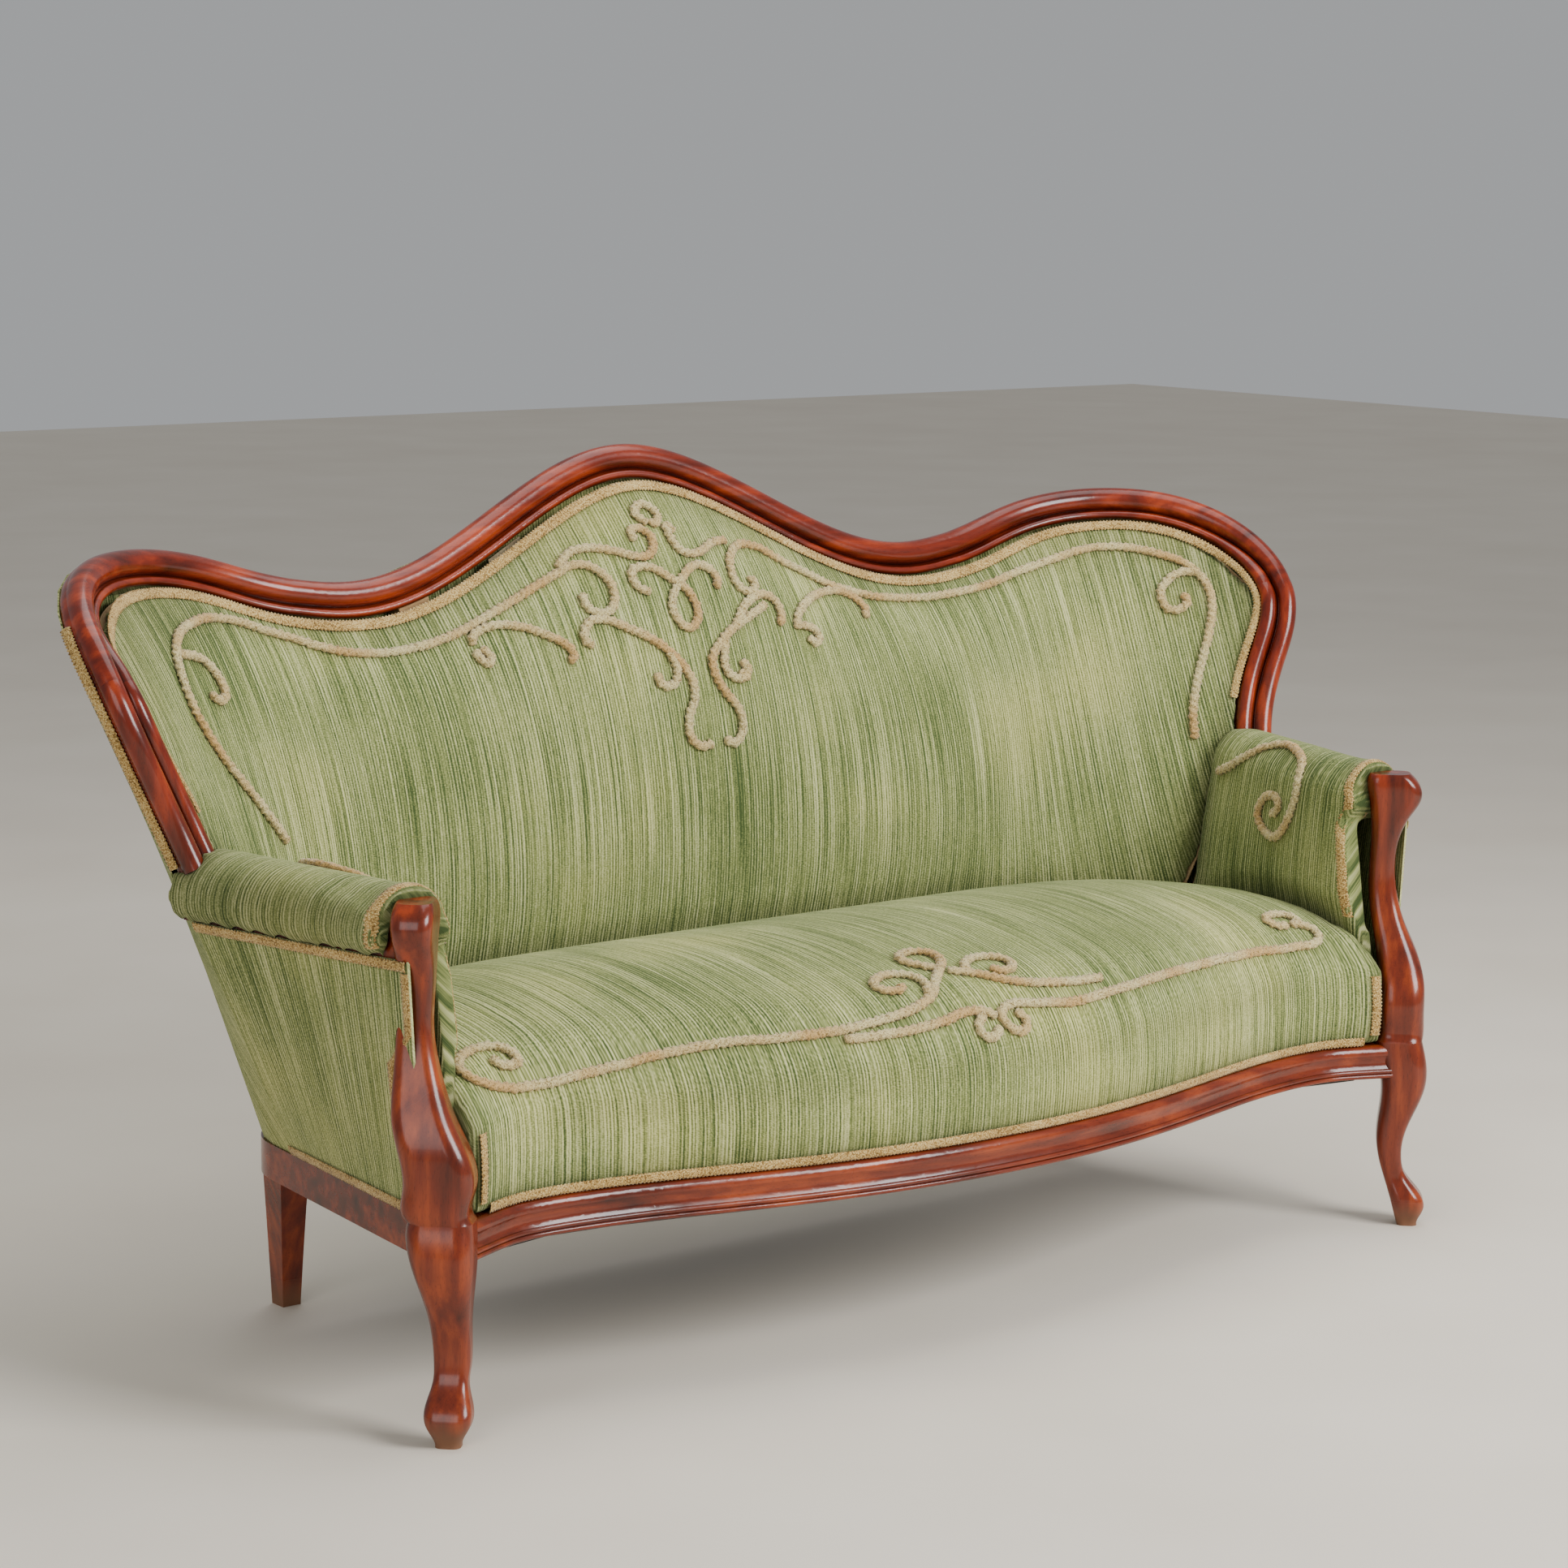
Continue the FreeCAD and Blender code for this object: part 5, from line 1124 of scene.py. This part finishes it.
@dataclass
class Seat:
    """The sprung seat: pad, gimp along the rail and chenille over its front."""

    rail_top: float = 0.264
    gimp_width: float = 0.013
    rail_steps: int = 1500
    rail_end: float = 1.93
    corner_low: float = 0.2785
    corner_rise: float = 0.087
    corner_edges: tuple[float, float] = (0.7550, 0.7672)
    corner_steps: int = 90
    rail: tuple = (
        ((0.0, -0.436), (0.330, -0.436), (0.470, -0.330), (0.670, -0.330)),
        ((0.670, -0.330), (0.715, -0.330), (0.760, -0.358667), (0.800, -0.372)),
    )
    scrolls: tuple = (
        ((-0.666, -0.285), (-0.659, -0.270), (-0.675, -0.252), (-0.705, -0.250), (-0.735, -0.262),
         (-0.747, -0.281), (-0.738, -0.298), (-0.700, -0.303), (-0.653, -0.303), (-0.599, -0.305),
         (-0.500, -0.316), (-0.404, -0.335), (-0.322, -0.357), (-0.241, -0.373), (-0.172, -0.378),
         (-0.120, -0.376), (-0.081, -0.365), (-0.060, -0.347), (-0.033, -0.324), (-0.008, -0.300),
         (-0.004, -0.275), (-0.022, -0.262), (-0.050, -0.266), (-0.060, -0.283), (-0.048, -0.302),
         (-0.030, -0.318)),
        ((-0.662, -0.279), (-0.680, -0.281), (-0.693, -0.275), (-0.688, -0.266)),
        ((-0.085, -0.364), (-0.074, -0.345), (-0.078, -0.328), (-0.095, -0.315), (-0.122, -0.313),
         (-0.145, -0.325), (-0.143, -0.340), (-0.118, -0.348), (-0.108, -0.338)),
        ((-0.24, -0.382), (-0.205, -0.388), (-0.146, -0.395), (-0.090, -0.396), (-0.050, -0.392),
         (-0.016, -0.394), (-0.002, -0.404)),
        ((-0.018, -0.397), (-0.038, -0.406), (-0.034, -0.415), (-0.014, -0.416), (-0.004, -0.408)),
        ((0.675, -0.261), (0.694, -0.262), (0.690, -0.243), (0.662, -0.238), (0.640, -0.248),
         (0.650, -0.262), (0.672, -0.262)),
        ((0.685, -0.262), (0.706, -0.272), (0.708, -0.288), (0.690, -0.294), (0.653, -0.293),
         (0.577, -0.299), (0.490, -0.315), (0.399, -0.339), (0.310, -0.362), (0.234, -0.379),
         (0.145, -0.394), (0.083, -0.394), (0.030, -0.392), (0.006, -0.400), (0.012, -0.412),
         (0.032, -0.416), (0.044, -0.408), (0.030, -0.398)),
        ((0.215, -0.367), (0.155, -0.372), (0.094, -0.370), (0.054, -0.362), (0.029, -0.350),
         (0.005, -0.338), (-0.022, -0.326)),
        ((0.005, -0.338), (0.014, -0.320), (0.040, -0.306), (0.070, -0.308), (0.086, -0.325),
         (0.078, -0.342), (0.055, -0.344), (0.046, -0.332)),
    )

    def rail_point(self, place: float) -> Vector:
        """Point of the front rail's face in plan, 0 in the middle to 2 at the post."""
        return Vector((*curve_point(self.rail, place), 0.0))

    def build(self, finishes: dict[str, bpy.types.Material]) -> None:
        """Make every piece of the seat.

        Args:
            finishes: Materials by finish.
        """
        pad = SoftPad("seat_pad", ("seat_cover", "seat_stuffing"), Weave.SEAT, fill=0.9).build(
            finishes["velvet"])
        on_pad = Projector(tree_of(pad))
        self.braids(finishes["gimp"])
        runs = [on_pad.route(route, lambda x, y: (Vector((x, y, 0.7)), Vector((0.0, 0.0, -1.0))))
                for route in self.scrolls]
        Cord("seat_scroll_cord", runs).build(finishes["chenille"], ["seat_scroll"])

    def braids(self, material: bpy.types.Material) -> None:
        """The braid along the rail and the short ones up the seat's corners.

        Args:
            material: The braid's finish.
        """
        strip = Projector(node_bvh(["seat_gimp"]))
        heights = (self.rail_top + 0.0008, self.rail_top + self.gimp_width - 0.0004)
        rows = []
        for number in range(self.rail_steps + 1):
            place = -self.rail_end + 2.0 * self.rail_end * number / self.rail_steps
            ahead = self.rail_point(min(place + 0.01, 2.0)) - self.rail_point(place - 0.01)
            out = Vector((ahead.y, -ahead.x, 0.0)).normalized()
            start = self.rail_point(place) + out * 0.05
            rows.append(strip.hits([start + Vector((0.0, 0.0, height)) for height in heights], out))
        strip_of("seat_gimp_braid", rows).build(material, ["seat_gimp"])
        for side in Side:
            rows = []
            for number in range(self.corner_steps):
                z = self.corner_low + self.corner_rise * number / (self.corner_steps - 1)
                starts = [Vector((side.value * x, -0.6, z)) for x in self.corner_edges]
                rows.append(strip.hits(starts, Vector((0.0, -1.0, 0.0))))
            strip_of(side.node("seat_corner_braid"), rows).build(material)


@dataclass
class Arm:
    """A padded arm: roll and inner pad, flat outer panel, gimp beside the wood and a chenille hook."""

    side: Side
    front_y: float = -0.272
    back_y: float = 0.030
    front_top_x: float = 0.858
    back_top_x: float = 0.924
    panel_top: float = 0.575
    rail_top: float = 0.264
    roll_reach: float = 0.0415
    roll_level: float = 0.600
    roll_radius: float = 0.056
    braid_edges: tuple[float, float] = (0.006, 0.019)
    braid_turns: tuple[float, float] = (-0.62, 1.7)
    braid_drop: float = 0.26
    braid_crest: float = 0.055
    braid_steps: int = 480
    panel_start: float = -0.3215
    panel_run: float = 0.351
    panel_steps: int = 330
    panel_edges: tuple[float, float] = (0.0006, 0.0126)
    side_heights: tuple[float, float] = (0.278, 0.561)
    side_steps: int = 270
    search_start: float = -0.34
    search_step: float = 0.001
    search_steps: int = 160
    wide_window: int = 33
    scroll: tuple = (
        (0.030, 0.600), (0.000, 0.611), (-0.040, 0.633), (-0.062, 0.644), (-0.092, 0.651), (-0.122, 0.650),
        (-0.150, 0.644), (-0.167, 0.635), (-0.174, 0.618), (-0.176, 0.600), (-0.172, 0.580),
        (-0.164, 0.561), (-0.152, 0.541), (-0.137, 0.531), (-0.119, 0.532), (-0.101, 0.541),
        (-0.090, 0.555), (-0.092, 0.572), (-0.106, 0.586), (-0.126, 0.588), (-0.138, 0.576),
        (-0.130, 0.565), (-0.120, 0.561),
    )

    def top_x(self, y: float) -> float:
        """Outer edge of the panel's top at a depth."""
        share = (y - self.front_y) / (self.back_y - self.front_y)
        return self.front_top_x + (self.back_top_x - self.front_top_x) * share

    def ray(self, y: float, z: float) -> tuple[Vector, Vector]:
        """Ray onto the inner face or the roll.

        Args:
            y: Depth.
            z: Height.

        Returns:
            The ray's start and direction.
        """
        lean = math.asin(min(max((z - self.roll_level) / self.roll_radius, 0.0), 1.0))
        middle = Vector((self.side.value * (self.top_x(y) - self.roll_reach), y, min(z, self.roll_level)))
        out = Vector((-self.side.value * math.cos(lean), 0.0, math.sin(lean)))
        return middle + out * 0.25, -out

    def build(self, finishes: dict[str, bpy.types.Material]) -> None:
        """Make every piece of the arm.

        Args:
            finishes: Materials by finish.
        """
        nodes = (self.side.node("arm_cover"), self.side.node("arm_stuffing"))
        pad = SoftPad(self.side.node("arm_pad"), nodes, Weave.ARM, voxel=0.008,
                      against=(self.side.node("arm_post"),)).build(finishes["velvet"])
        on_pad = Projector(tree_of(pad))
        cord = self.side.node("arm_scroll")
        Cord(cord + "_cord", [on_pad.route(self.scroll, self.ray)]).build(finishes["chenille"], [cord])
        self.front_braid(pad, on_pad, finishes["gimp"])
        self.panel_braids(finishes["gimp"])

    def front_braid(self, pad: bpy.types.Object, on_pad: Projector, material: bpy.types.Material) -> None:
        """The braid over the front end of the pad, beside the post.

        Args:
            pad: The arm's pad.
            on_pad: The pad's face.
            material: The braid's finish.
        """
        points = coordinates(pad.data)
        levels = np.arange(0.42, 0.67, 0.01)
        ends = [points[np.abs(points[:, 2] - z) < 0.012][:, 1].min() for z in levels]
        rows = []
        for number in range(self.braid_steps):
            turn = self.braid_turns[0] + self.braid_turns[1] * number / (self.braid_steps - 1)
            angle = max(turn, 0.0) * math.pi
            out = Vector((-self.side.value * math.cos(angle), 0.0, math.sin(angle)))
            z = self.roll_level + min(turn, 0.0) * self.braid_drop
            end = float(np.interp(z + self.braid_crest * math.sin(angle), levels, ends))
            starts = []
            for y in (end + edge for edge in self.braid_edges):
                x = self.side.value * (self.top_x(y) - self.roll_reach)
                starts.append(Vector((x, y, z)) + out * 0.2)
            rows.append(on_pad.hits(starts, out))
        braid = strip_of(self.side.node("arm_front_braid"), rows)
        braid.build(material, [self.side.node("inner_arm_gimp")])

    def beside(self, y: float, z: float) -> Vector:
        """A point well outside the arm, from which rays go inwards."""
        return Vector((self.side.value * 1.2, y, z))

    def panel_braids(self, material: bpy.types.Material) -> None:
        """The braids round the outer panel: under the roll, on the rail and beside the post.

        Args:
            material: The braid's finish.
        """
        strip = Projector(node_bvh([self.side.node("outer_arm_gimp")]))
        out = Vector((self.side.value, 0.0, 0.0))
        for word, low in (("low", self.rail_top), ("high", self.panel_top - 0.013)):
            rows = []
            edges = (low + 0.0006, low + 0.0124)
            for number in range(self.panel_steps):
                y = self.panel_start + self.panel_run * number / (self.panel_steps - 1)
                rows.append(strip.hits([self.beside(y, z) for z in edges], out))
            nodes = [self.side.node("outer_arm_gimp")] if word == "low" else []
            strip_of(self.side.node(f"outer_arm_{word}_braid"), rows).build(material, nodes)
        cover = Projector(node_bvh([self.side.node("outer_arm_cover")]))
        post = Projector(node_bvh([self.side.node("arm_post"), self.side.node("front_leg")]))
        heights = np.linspace(*self.side_heights, self.side_steps)
        found = np.array([self.cover_edge(cover, post, z) for z in heights])
        half = self.wide_window // 2
        wide = np.pad(found, half, mode="edge")
        wide = np.array([wide[i:i + self.wide_window].max() for i in range(len(heights))])
        kernel = np.ones(self.wide_window) / self.wide_window
        edges = np.convolve(np.pad(wide, half, mode="edge"), kernel, mode="valid")
        rows = [cover.hits([self.beside(edge + reach, z) for reach in self.panel_edges], out)
                for z, edge in zip(heights, edges)]
        strip_of(self.side.node("outer_arm_front_braid"), rows).build(material)

    def cover_edge(self, cover: Projector, post: Projector, z: float) -> float:
        """Depth at which the outer cover comes out from behind the post.

        Args:
            cover: The outer cover's face.
            post: The post's and the leg's face.
            z: Height.

        Returns:
            The depth.
        """
        inwards = Vector((-self.side.value, 0.0, 0.0))
        for number in range(self.search_steps):
            y = self.search_start + self.search_step * number
            cloth, wood = (face.drop(self.beside(y, z), inwards) for face in (cover, post))
            if cloth and (wood is None or abs(wood[0].x) < abs(cloth[0].x)):
                return y
        return self.front_y


@dataclass(frozen=True)
class Sheet:
    """A flat cover or lining that keeps its packed form, with a fine mesh for its cloth."""

    name: str
    node: str
    finish: str
    slot: str
    flat: tuple[float, float]
    held: str = "stretched"
    grain: float = 0.03

    def build(self, finishes: dict[str, bpy.types.Material]) -> bpy.types.Object:
        """Make the sheet.

        Args:
            finishes: Materials by finish.

        Returns:
            The piece.
        """
        bm = merged_copy([self.node])
        for _ in range(5):
            long_edges = [edge for edge in bm.edges if edge.calc_length() > self.grain]
            if not long_edges:
                break
            bmesh.ops.subdivide_edges(bm, edges=long_edges, cuts=1)
            bmesh.ops.triangulate(bm, faces=bm.faces)
        area = sum(face.calc_area() for face in bm.faces) / 2.0
        piece = new_piece(self.name, bm, finishes[self.finish], [self.node])
        piece.data.polygons.foreach_set("use_smooth", [False] * len(piece.data.polygons))
        # painted seam shade switched off on flat sheets: 0.8 leaves the velvet undarkened
        seam = piece.data.attributes.new("seam", "FLOAT", "POINT")
        seam.data.foreach_set("value", np.full(len(piece.data.vertices), 0.8, np.float32))
        weave = Weave.ARM if "arm" in self.name else Weave.BACK
        lay_fabric(piece.data, cloth_rule(weave))
        log.info("%s area %.3f", self.name, area)
        return piece


@dataclass
class Springs:
    """Hourglass coil springs on their webbing."""

    columns: tuple = (-0.520, -0.390, -0.130, 0.0, 0.130, 0.390, 0.520)
    rows: tuple = (-0.262, -0.110, 0.045)
    low: float = 0.2195
    high: float = 0.3497
    radius: float = 0.044
    waist: float = 0.029
    wire: float = 0.0019
    turns: int = 5

    def build(self, material: bpy.types.Material) -> bpy.types.Object:
        """Make all the springs as one piece.

        Args:
            material: Their steel.

        Returns:
            The piece.
        """
        one = bmesh.new()
        ring = bmesh.ops.create_circle(one, cap_ends=False, segments=6, radius=self.wire,
                                       matrix=Matrix.Translation((self.radius, 0.0, 0.0))
                                       @ Matrix.Rotation(math.pi / 2.0, 4, "X"))
        height = self.high - self.low - 2.0 * self.wire
        steps = self.turns * 14
        bmesh.ops.spin(one, geom=ring["verts"] + [e for e in one.edges], cent=(0.0, 0.0, 0.0),
                       axis=(0.0, 0.0, 1.0), dvec=(0.0, 0.0, height / steps),
                       angle=2.0 * math.pi * self.turns, steps=steps, use_duplicate=False)
        for vertex in one.verts:
            share = abs(2.0 * (vertex.co.z + self.wire) / (height + 2.0 * self.wire) - 1.0)
            size = (self.waist + (self.radius - self.waist) * min(share, 1.0)) / self.radius
            vertex.co.x *= size
            vertex.co.y *= size
            vertex.co.z += self.low + 2.0 * self.wire
        bmesh.ops.holes_fill(one, edges=[edge for edge in one.edges if edge.is_boundary])
        bmesh.ops.recalc_face_normals(one, faces=one.faces)
        scrap = bpy.data.meshes.new("spring")
        one.to_mesh(scrap)
        one.free()
        whole = bmesh.new()
        for x in self.columns:
            for y in self.rows:
                start = len(whole.verts)
                whole.from_mesh(scrap)
                whole.verts.ensure_lookup_table()
                bmesh.ops.translate(whole, verts=whole.verts[start:], vec=(x, y, 0.0))
        return new_piece("seat_spring_coils", whole, material, ["seat_springs"])


@dataclass
class Studio:
    """Floor, soft lights and the camera at the photograph's angle."""

    camera_at: tuple[float, float, float] = (-3.4038, -4.178, 1.5337)
    yaw: float = 0.6794
    pitch: float = -0.1603
    roll: float = 0.0108
    lens: float = 36.0 * 5000.0 / 1932.0

    def build(self) -> None:
        """Make the studio."""
        self.floor()
        self.lamp("key", (1.6, -4.2, 3.0), (0.0, 0.0, 0.5), 2.2, 300.0)
        self.lamp("fill", (-4.2, -2.4, 2.2), (0.0, 0.0, 0.5), 2.6, 60.0)
        self.lamp("top", (0.6, 0.2, 3.8), (0.0, 0.0, 0.4), 3.0, 80.0)
        world = bpy.data.worlds.new("studio")
        bpy.context.scene.world = world
        world.use_nodes = True
        world.node_tree.nodes["Background"].inputs[0].default_value = (0.86, 0.88, 0.9, 1.0)
        world.node_tree.nodes["Background"].inputs[1].default_value = 0.45
        self.camera()

    def floor(self) -> None:
        """A plain pale floor."""
        bm = bmesh.new()
        bmesh.ops.create_grid(bm, x_segments=8, y_segments=8, size=14.0)
        mesh = bpy.data.meshes.new("floor")
        bm.to_mesh(mesh)
        bm.free()
        floor = bpy.data.objects.new("floor", mesh)
        bpy.context.scene.collection.objects.link(floor)
        finish = Plain("studio_floor", linear(222, 212, 196), linear(230, 221, 206), fineness=2.0,
                       roughness=0.7)
        mesh.materials.append(finish.build())

    def lamp(self, name: str, place: tuple, aim: tuple, size: float, power: float) -> None:
        """A soft square lamp.

        Args:
            name: Its name.
            place: Where it stands.
            aim: What it points at.
            size: Side of its face.
            power: Its power in watts.
        """
        data = bpy.data.lights.new(name, "AREA")
        data.size, data.energy = size, power
        lamp = bpy.data.objects.new(name, data)
        lamp.location = place
        lamp.rotation_euler = (Vector(aim) - Vector(place)).to_track_quat("-Z", "Y").to_euler()
        bpy.context.scene.collection.objects.link(lamp)

    def camera(self) -> None:
        """The camera, turned by its yaw, pitch and roll."""
        level_part = math.cos(self.pitch)
        ahead = Vector((math.sin(self.yaw) * level_part, math.cos(self.yaw) * level_part,
                        math.sin(self.pitch)))
        flat = Vector((math.cos(self.yaw), -math.sin(self.yaw), 0.0))
        up = flat.cross(ahead)
        right = flat * math.cos(self.roll) + up * math.sin(self.roll)
        top = up * math.cos(self.roll) - flat * math.sin(self.roll)
        turn = Matrix((right, top, -ahead)).transposed().to_4x4()
        data = bpy.data.cameras.new("camera")
        data.lens, data.sensor_width = self.lens, 36.0
        camera = bpy.data.objects.new("camera", data)
        camera.matrix_world = Matrix.Translation(self.camera_at) @ turn
        bpy.context.scene.collection.objects.link(camera)
        bpy.context.scene.camera = camera


@dataclass
class Sofa:
    """The whole sofa: finishes on the wood and every soft piece."""

    finishes: dict = field(default_factory=dict)

    def prepare(self) -> None:
        """Make the finishes."""
        made = {
            "velvet": Velvet(),
            "gimp": Braid(),
            "chenille": Chenille(),
            "rail": Mahogany("sofa_mahogany_rails", (0.6, 6.0, 6.0)),
            "upright": Mahogany("sofa_mahogany_posts", (6.0, 6.0, 0.6)),
            "timber": Plain("sofa_hidden_timber", linear(150, 112, 70), linear(196, 160, 110),
                            stretch=(1.0, 8.0, 8.0)),
            "hessian": Plain("sofa_hessian", linear(116, 92, 60), linear(170, 142, 100),
                             fineness=420.0, roughness=0.9),
            "webbing": Plain("sofa_webbing", linear(120, 104, 78), linear(176, 160, 126),
                             fineness=300.0, roughness=0.9),
            "lining": Plain("sofa_lining", linear(36, 34, 32), linear(58, 56, 52),
                            fineness=500.0, roughness=0.95),
            "steel": Plain("sofa_spring_steel", linear(96, 84, 74), linear(150, 142, 134),
                           fineness=60.0, roughness=0.45, metal=1.0),
        }
        self.finishes = {key: finish.build() for key, finish in made.items()}

    def wood(self) -> None:
        """Put the finishes on the nodes that stay."""
        stems = {
            "rail": ("crest_rail", "front_rail", "rear_rail", "shoulder", "side_rail", "arm_rail"),
            "upright": ("back_post", "front_leg", "arm_post", "rear_leg"),
            "timber": ("back_cross_rail", "seat_braces", "corner_blocks", "frame_dowels", "rear_upright",
                       "back_stile", "back_side_rail"),
            "steel": ("corner_block_screws",),
        }
        for name, node in frame["nodes"].items():
            for key, starts in stems.items():
                if name.startswith(starts):
                    node.data.materials.clear()
                    node.data.materials.append(self.finishes[key])
                    log.info("%s: %s", name, key)

    def linings(self) -> None:
        """The flat covers, linings and webbing."""
        sheets = [Sheet("outside_back_cloth", "outside_back_cover", "velvet", "outside_velvet",
                        (2.75, 0.72)),
                  Sheet("seat_hessian_cloth", "seat_hessian", "hessian", "hessian", (1.24, 0.5)),
                  Sheet("back_hessian_cloth", "back_hessian", "hessian", "hessian", (2.4, 0.62)),
                  Sheet("dust_cloth", "dust_cover", "lining", "hessian", (1.6, 0.6))]
        sheets += [Sheet(side.node("outer_arm_cloth"), side.node("outer_arm_cover"), "velvet",
                         "outside_velvet", (0.32, 0.35)) for side in Side]
        for sheet in sheets:
            sheet.build(self.finishes)
        for name in ("seat_webbing", "back_webbing"):
            bm = merged_copy([name])
            long_edges = [edge for edge in bm.edges if edge.calc_length() > 0.04]
            bmesh.ops.subdivide_edges(bm, edges=long_edges, cuts=6)
            piece = new_piece(name + "_straps", bm, self.finishes["webbing"], [name])
            piece.data.polygons.foreach_set("use_smooth", [False] * len(piece.data.polygons))

    def build(self) -> None:
        """Make the sofa."""
        self.prepare()
        self.wood()
        self.linings()
        Springs().build(self.finishes["steel"])
        Seat().build(self.finishes)
        for side in Side:
            Arm(side).build(self.finishes)
        Back().build(self.finishes)


def main() -> None:
    """Build the studio and the sofa."""
    logging.basicConfig(level=logging.INFO, format="%(message)s")
    Studio().build()
    Sofa().build()


if __name__ == "__main__":
    main()
